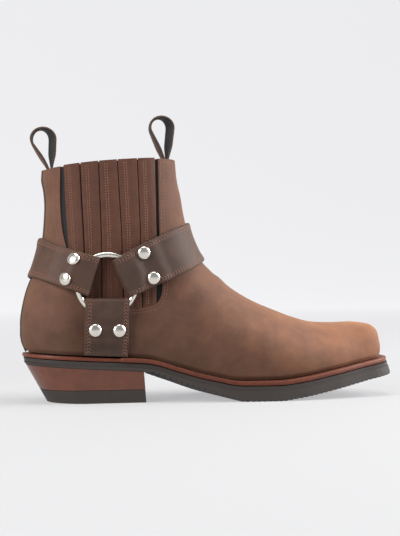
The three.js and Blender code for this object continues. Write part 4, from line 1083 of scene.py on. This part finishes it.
def makeWelt():
    inside = growLine(featherLine, -sole["lip"])
    rounding = 0.8
    thickness = sole["welt"]
    profileOf = [(-rounding, 0), (-rounding * 0.3, rounding * 0.25), (0, rounding),
                 (0, thickness - rounding), (-rounding * 0.3, thickness - rounding * 0.25), (-rounding, thickness)]
    loops = []
    x = featherLine[:, 0]
    proud = welt["proud"] * smoothstep(x, welt["notch"] - 1, welt["notch"] + 1) * (1 - smoothstep(x, 85, 130))
    thin = welt["thinner"] * (1 - smoothstep(x, welt["notch"] - 1, welt["notch"] + 1))
    for reachBy, up in profileOf:
        line = growLine(featherLine, weltReach(x) + proud + reachBy)
        loops.append(np.column_stack([line, weltUnderside(line[:, 0]) + up - thin * (up > thickness / 2)]))
    lineIn = np.column_stack([inside, seat(inside[:, 0]) - thin])
    lineLow = np.column_stack([inside, weltUnderside(inside[:, 0])])
    loops = np.array(loops + [lineIn, lineLow])
    rows, columns = loops.shape[:2]
    faces = gridFaces(rows, columns, wrap=True)
    j = np.arange(columns)
    following = (j + 1) % columns
    closing = np.stack([(rows - 1) * columns + j, (rows - 1) * columns + following, following, j], 1)
    mesh = buildMesh("welt", loops, np.concatenate([faces, closing]))
    return linkPiece("weltStrip", mesh, [weltLeather], ["welt"])


def makeOutsole():
    pitch = sole["ribPitch"]
    half = outlineCount // 2
    outerX = np.maximum.accumulate(lowerOutline[:half + 1, 0])
    starts = np.arange(heelBreast + pitch, soleFront - 1, pitch)
    breaks = np.concatenate([starts, starts + sole["ribTip"], starts + (sole["ribTip"] + pitch) / 2])
    even = np.concatenate([np.linspace(0, half, 121), np.linspace(half * 0.86, half, 41)])
    atBreaks = np.interp(breaks[breaks < soleFront], outerX, np.arange(half + 1))
    places = np.unique(np.round(np.concatenate([even, atBreaks]), 3))
    indices = np.arange(half + 1)

    def level(growth, heightAt):
        line = growLine(featherLine, weltReach(featherLine[:, 0]) + growth)
        outer = line[:half + 1]
        inner = np.concatenate([line[half:], line[:1]])[::-1]
        sidesOf = []
        for part in (outer, inner):
            x, y = (np.interp(places, indices, part[:, k]) for k in (0, 1))
            sidesOf.append(np.column_stack([x, y, heightAt(x)]))
        return sidesOf

    def ribbed(x):
        into = (x - starts[0]) % pitch
        valley = (pitch - sole["ribTip"]) / 2
        depth = np.where(into > sole["ribTip"], 1 - np.abs(into - sole["ribTip"] - valley) / valley, 0)
        return underside(x) + sole["ribDepth"] * np.where(x < starts[0], 0, depth)

    def bandTop(x):
        return weltUnderside(x) - last["curvedGap"]

    def bandLow(x):
        return bandTop(x) - sole["bandHeight"]

    low = lowerFlare(featherLine[:, 0])
    high = upperFlare(featherLine[:, 0])
    middle = lerp(low, high, 0.6)
    filling = -(weltReach(featherLine[:, 0]) + sole["lip"] + last["gap"])
    levels = [level(low, ribbed), level(middle, bandLow), level(middle - sole["bandInset"], bandLow),
              level(high - sole["bandInset"] * (1 - smoothstep(featherLine[:, 0], 262, 285)), bandTop),
              level(filling, bandTop), level(filling, seat)]
    loops = np.stack([sidesOf[0] for sidesOf in levels] + [sidesOf[1] for sidesOf in levels[::-1]], 1)
    points, faces = loopBody(loops)
    mesh = buildMesh("outsole", points, faces, angle=30)
    return linkPiece("outsoleRibbed", mesh, [soleRubber], ["outsole"])


def heelLoop(z):
    topBack = underside(soleBack)
    fall = (topBack - z) / topBack
    breast = heelBreast + heel["forward"] * fall
    length = breast - soleBack - heel["slant"] * fall
    narrow = 1 - 2 * heel["taper"] * fall / last["heelWidth"]
    behind = lowerOutline[::4][lowerOutline[::4, 0] < heelBreast - 1]
    order = behind[np.argsort(np.arctan2(behind[:, 1], heelBreast - behind[:, 0]))]
    corners = np.concatenate([[[heelBreast, order[0, 1]]], order, [[heelBreast, order[-1, 1]]]])
    x = breast - (heelBreast - corners[:, 0]) * length / (heelBreast - soleBack)
    return np.column_stack([x, corners[:, 1] * narrow, np.full(len(x), z)])


def makeHeelPart(name, node, low, topAt, levels, material):
    bottom = heelLoop(low)
    full = heelLoop(underside(soleBack))
    height = topAt(full[:, 0])
    share = (height - low) / (underside(soleBack) - low)
    top = np.column_stack([lerp(bottom[:, 0], full[:, 0], share), lerp(bottom[:, 1], full[:, 1], share), height])
    loops = [lerp(bottom, top, t) for t in levels]
    points, faces = loopBody(loops)
    mesh = buildMesh(name, points, faces, angle=40)
    return linkPiece(name, mesh, [material], [node])


makeWelt()
makeOutsole()
makeHeelPart("heelStack", "heel_stack", heel["topLift"] + last["gap"], lambda x: underside(x) - last["gap"],
             np.linspace(0, 1, 12), stackLeather)
makeHeelPart("topLift", "heel_top_lift", 0.0, lambda x: np.full(len(x), heel["topLift"]),
             np.linspace(0, 1, 4), soleRubber)


def makeInsole():
    line = growLine(featherLine, -(last["upperWall"] + 2 * last["gap"]))
    outer, inner = halvesOf(line)
    x = np.unique(np.round(line[:, 0], 3))
    shares = np.linspace(0, 1, 21)
    y = lerp(outer(x)[:, None], inner(x)[:, None], shares[None, :])
    grid = np.stack([np.repeat(x[:, None], 21, 1), y], -1)
    low = seat(x)[:, None] + last["gap"] + np.zeros_like(y)
    high = low + sole["insole"]
    top = np.concatenate([grid, high[..., None]], -1)
    bottom = np.concatenate([grid, low[..., None]], -1)
    points, faces = loopBody(np.concatenate([top, bottom[:, ::-1]], 1))
    mesh = buildMesh("insoleBoard", points, faces)
    return linkPiece("insoleBoard", mesh, [insoleLeather], ["insole"])


makeInsole()
print("sole and heel made")

# Stitching: short rounded threads, half sunk in the leather, drawn at their real size
stitch = {"width": 0.42, "height": 0.34, "sunk": 0.12}


def makeStitches(name, rows, thread):
    starts, ends, normals = (np.concatenate(part) for part in zip(*rows))
    normals = normals / np.linalg.norm(normals, axis=1, keepdims=True)
    across = np.cross(normals, ends - starts)
    across /= np.linalg.norm(across, axis=1, keepdims=True)
    along = np.array([0, 0.16, 0.5, 0.84, 1])
    taper = np.array([0.4, 0.9, 1, 0.9, 0.4])
    arch = np.array([(-1, 0), (-0.62, 0.78), (0, 1), (0.62, 0.78), (1, 0)])
    points = []
    for share, size in zip(along, taper):
        middle = lerp(starts, ends, share)
        for sideways, up in arch:
            points.append(middle + across * (sideways * size * stitch["width"])
                          + normals * (up * size * stitch["height"] - stitch["sunk"]))
    points = np.stack(points, 1)
    faces = gridFaces(len(along), len(arch))
    blocks = [faces + i * len(along) * len(arch) for i in range(len(starts))]
    mesh = buildMesh(name, points, np.concatenate(blocks), angle=80)
    linkPiece(name, mesh, [thread], [])


# Stitches on a strap's face, each from one distance off an edge to another
def strapStitches(key, fromEdge, toEdge, lowEdge, firstRow, spacing=2.5, share=0.7):
    face, normals, _, across, width = strapFaces[key]
    rows = np.arange(firstRow, face.shape[0] - firstRow, dtype=float)
    columns = [np.interp(d / width if lowEdge else 1 - d / width, across, np.arange(len(across)))
               for d in (fromEdge, toEdge)]
    line = readGrid(face, rows, np.full(len(rows), columns[0]))
    places = evenPlaces(line, spacing)
    begin = np.interp(places[:-1], np.arange(len(rows)), rows)
    finish = np.interp(lerp(places[:-1], places[1:], share), np.arange(len(rows)), rows)
    starts = readGrid(face, begin, np.full(len(begin), columns[0]))
    ends = readGrid(face, finish, np.full(len(begin), columns[1]))
    return starts, ends, readGrid(normals, begin, np.full(len(begin), columns[0]))


# Stitches along a line of the side view, lifted off the last by an offset
def sideStitches(line, side, spacing, share, offset=0.0, slant=0.0):
    places = evenPlaces(sidePoint(line[:, 0], line[:, 1], side), spacing)
    index = np.arange(len(line))

    def at(where, shift):
        x = np.interp(where, index, line[:, 0]) + shift
        z = np.interp(where, index, line[:, 1])
        point, normal = sideFrame(x, z, side)
        lift = offset - (creaseDepth(point) if offset == 0 else 0)
        return point + normal * np.broadcast_to(lift, len(point))[:, None], normal

    starts, normals = at(places[:-1], -slant)
    ends, _ = at(lerp(places[:-1], places[1:], share), slant)
    return starts, ends, normals


seam = {"goreInner": 1.5, "goreOuter": 3.6, "collarDown": 3.2, "spacing": 2.6}

for node in wrapStraps:
    rows = []
    for lowEdge in (True, False):
        rows.append(strapStitches(node, 1.3, 2.8, lowEdge, 3))
        rows.append(strapStitches(node, 4.6, 3.1, lowEdge, 3))
    makeStitches(f"stitches_{node}", rows, cottonThread)
for sideName, side in sides.items():
    rows = []
    for lowEdge in (True, False):
        rows.append(strapStitches(f"drop_{sideName}", 1.3, 2.8, lowEdge, 2))
        rows.append(strapStitches(f"drop_{sideName}", 4.6, 3.1, lowEdge, 2))
    makeStitches(f"stitchesDrop_{sideName}", rows, cottonThread)
    rows = []
    for amount in (seam["goreInner"], seam["goreOuter"]):
        line = growWindow(amount)
        line = line[line[:, 1] < collarHeight(line[:, 0]) - 1.5]
        rows.append(sideStitches(line, side, seam["spacing"], 0.72))
    for x0, x1 in ((collarBack[0] + 1.5, window[0, 0] - 4.5), (window[-1, 0] + 4.5, collarFront[0] - 1.5)):
        x = np.linspace(float(x0), float(x1), 30)
        line = np.column_stack([x, collarHeight(x) - seam["collarDown"]])
        rows.append(sideStitches(line, side, seam["spacing"], 0.72))
    makeStitches(f"stitchesUpper_{sideName}", rows, cottonThread)
    rows = []
    stripTop = gore["elasticThickness"] - last["upperWall"] + last["strapGap"] + gore["stripThickness"]
    for left, right in zip(stripBorders[:-1], stripBorders[1:]):
        for share in (0.3, 0.42):
            def along(height):
                return lerp(borderAt(left, height), borderAt(right, height), share)
            z = np.linspace(lowestInWindow(along) + 2, collarHeight(along(190.0)) - 1, 80)
            line = np.column_stack([along(z), z])
            rows.append(sideStitches(line, side, 2.0, 0.6, stripTop, 0.25 if share < 0.4 else -0.25))
    makeStitches(f"stitchesStrips_{sideName}", rows, stripThread)

weltLine = growLine(featherLine, 1.3)
weltLine = np.column_stack([weltLine, seat(weltLine[:, 0])])
weltLine = weltLine[weltLine[:, 0] > welt["notch"] + 3]
weltPlaces = evenPlaces(weltLine, 3.4)
index = np.arange(len(weltLine))
weltStarts, weltEnds = (np.stack([np.interp(places, index, weltLine[:, k]) for k in range(3)], 1)
                        for places in (weltPlaces[:-1], lerp(weltPlaces[:-1], weltPlaces[1:], 0.7)))
makeStitches("stitchesWelt", [(weltStarts, weltEnds, np.tile([0, 0, 1.0], (len(weltStarts), 1)))], darkThread)
print("stitches made")

# Studio: a pale floor that rises into a backdrop
studio = {"width": 12.0, "near": -6.0, "bend": 2.5, "radius": 2.0, "height": 6.0, "tone": "#eeeef0", "paper": "#6a6a6a", "glow": (0.51, 0.885)}


def makeStudio():
    angles = np.linspace(-math.pi / 2, 0, 17)
    line = [(studio["near"], 0.0), (studio["bend"], 0.0)]
    line += [(studio["bend"] + studio["radius"] * math.cos(a), studio["radius"] * (1 + math.sin(a))) for a in angles]
    line.append((studio["bend"] + studio["radius"], studio["height"]))
    half = studio["width"] / 2
    points = [(x, y, z) for y, z in line for x in (-half, half)]
    faces = [(2 * i, 2 * i + 1, 2 * i + 3, 2 * i + 2) for i in range(len(line) - 1)]
    mesh = bpy.data.meshes.new("studioFloor")
    mesh.from_pydata(points, [], faces)
    mesh.polygons.foreach_set("use_smooth", np.ones(len(faces), bool))
    floor = bpy.data.objects.new("studioFloor", mesh)
    bpy.context.scene.collection.objects.link(floor)
    paper, tree, shader = newMaterial("studioPaper")
    shader.inputs["Base Color"].default_value = toLinear(studio["paper"])
    shader.inputs["Roughness"].default_value = 0.9
    shader.inputs["Emission Color"].default_value = toLinear(studio["tone"])
    place = addNode(tree, "ShaderNodeTexCoord").outputs["Object"]
    depth = addNode(tree, "ShaderNodeSeparateXYZ", links={"Vector": place}).outputs["Y"]
    glow = addNode(tree, "ShaderNodeMapRange", {"From Min": 0.3, "From Max": studio["bend"], "To Min": studio["glow"][0],
                                                "To Max": studio["glow"][1]}, {"Value": depth}).outputs[0]
    tree.links.new(glow, shader.inputs["Emission Strength"])
    mesh.materials.append(paper)


def addLight(name, place, aim, size, power):
    data = bpy.data.lights.new(name, "AREA")
    data.shape = "RECTANGLE"
    data.size, data.size_y = size
    data.energy = power
    lamp = bpy.data.objects.new(name, data)
    bpy.context.scene.collection.objects.link(lamp)
    lamp.location = place
    direction = np.array(aim) - np.array(place)
    yaw = math.atan2(direction[1], direction[0])
    pitch = math.atan2(direction[2], math.hypot(direction[0], direction[1]))
    lamp.rotation_euler = (math.radians(90) + pitch, 0, yaw - math.radians(90))


makeStudio()
world = bpy.data.worlds.new("studioAir")
bpy.context.scene.world = world
world.use_nodes = True
world.node_tree.nodes["Background"].inputs["Color"].default_value = toLinear("#f4f6fa")
world.node_tree.nodes["Background"].inputs["Strength"].default_value = 0.3
addLight("keyLight", (1.5, -0.3, 0.75), (0.1, 0, 0.1), (1.0, 1.0), 56)
addLight("fillLight", (-1.5, -0.8, 0.9), (0.1, 0, 0.1), (1.0, 1.0), 52)
addLight("topLight", (0.1, -0.1, 1.8), (0.1, 0, 0), (1.2, 1.2), 21)
bpy.context.scene.view_settings.view_transform = "Standard"
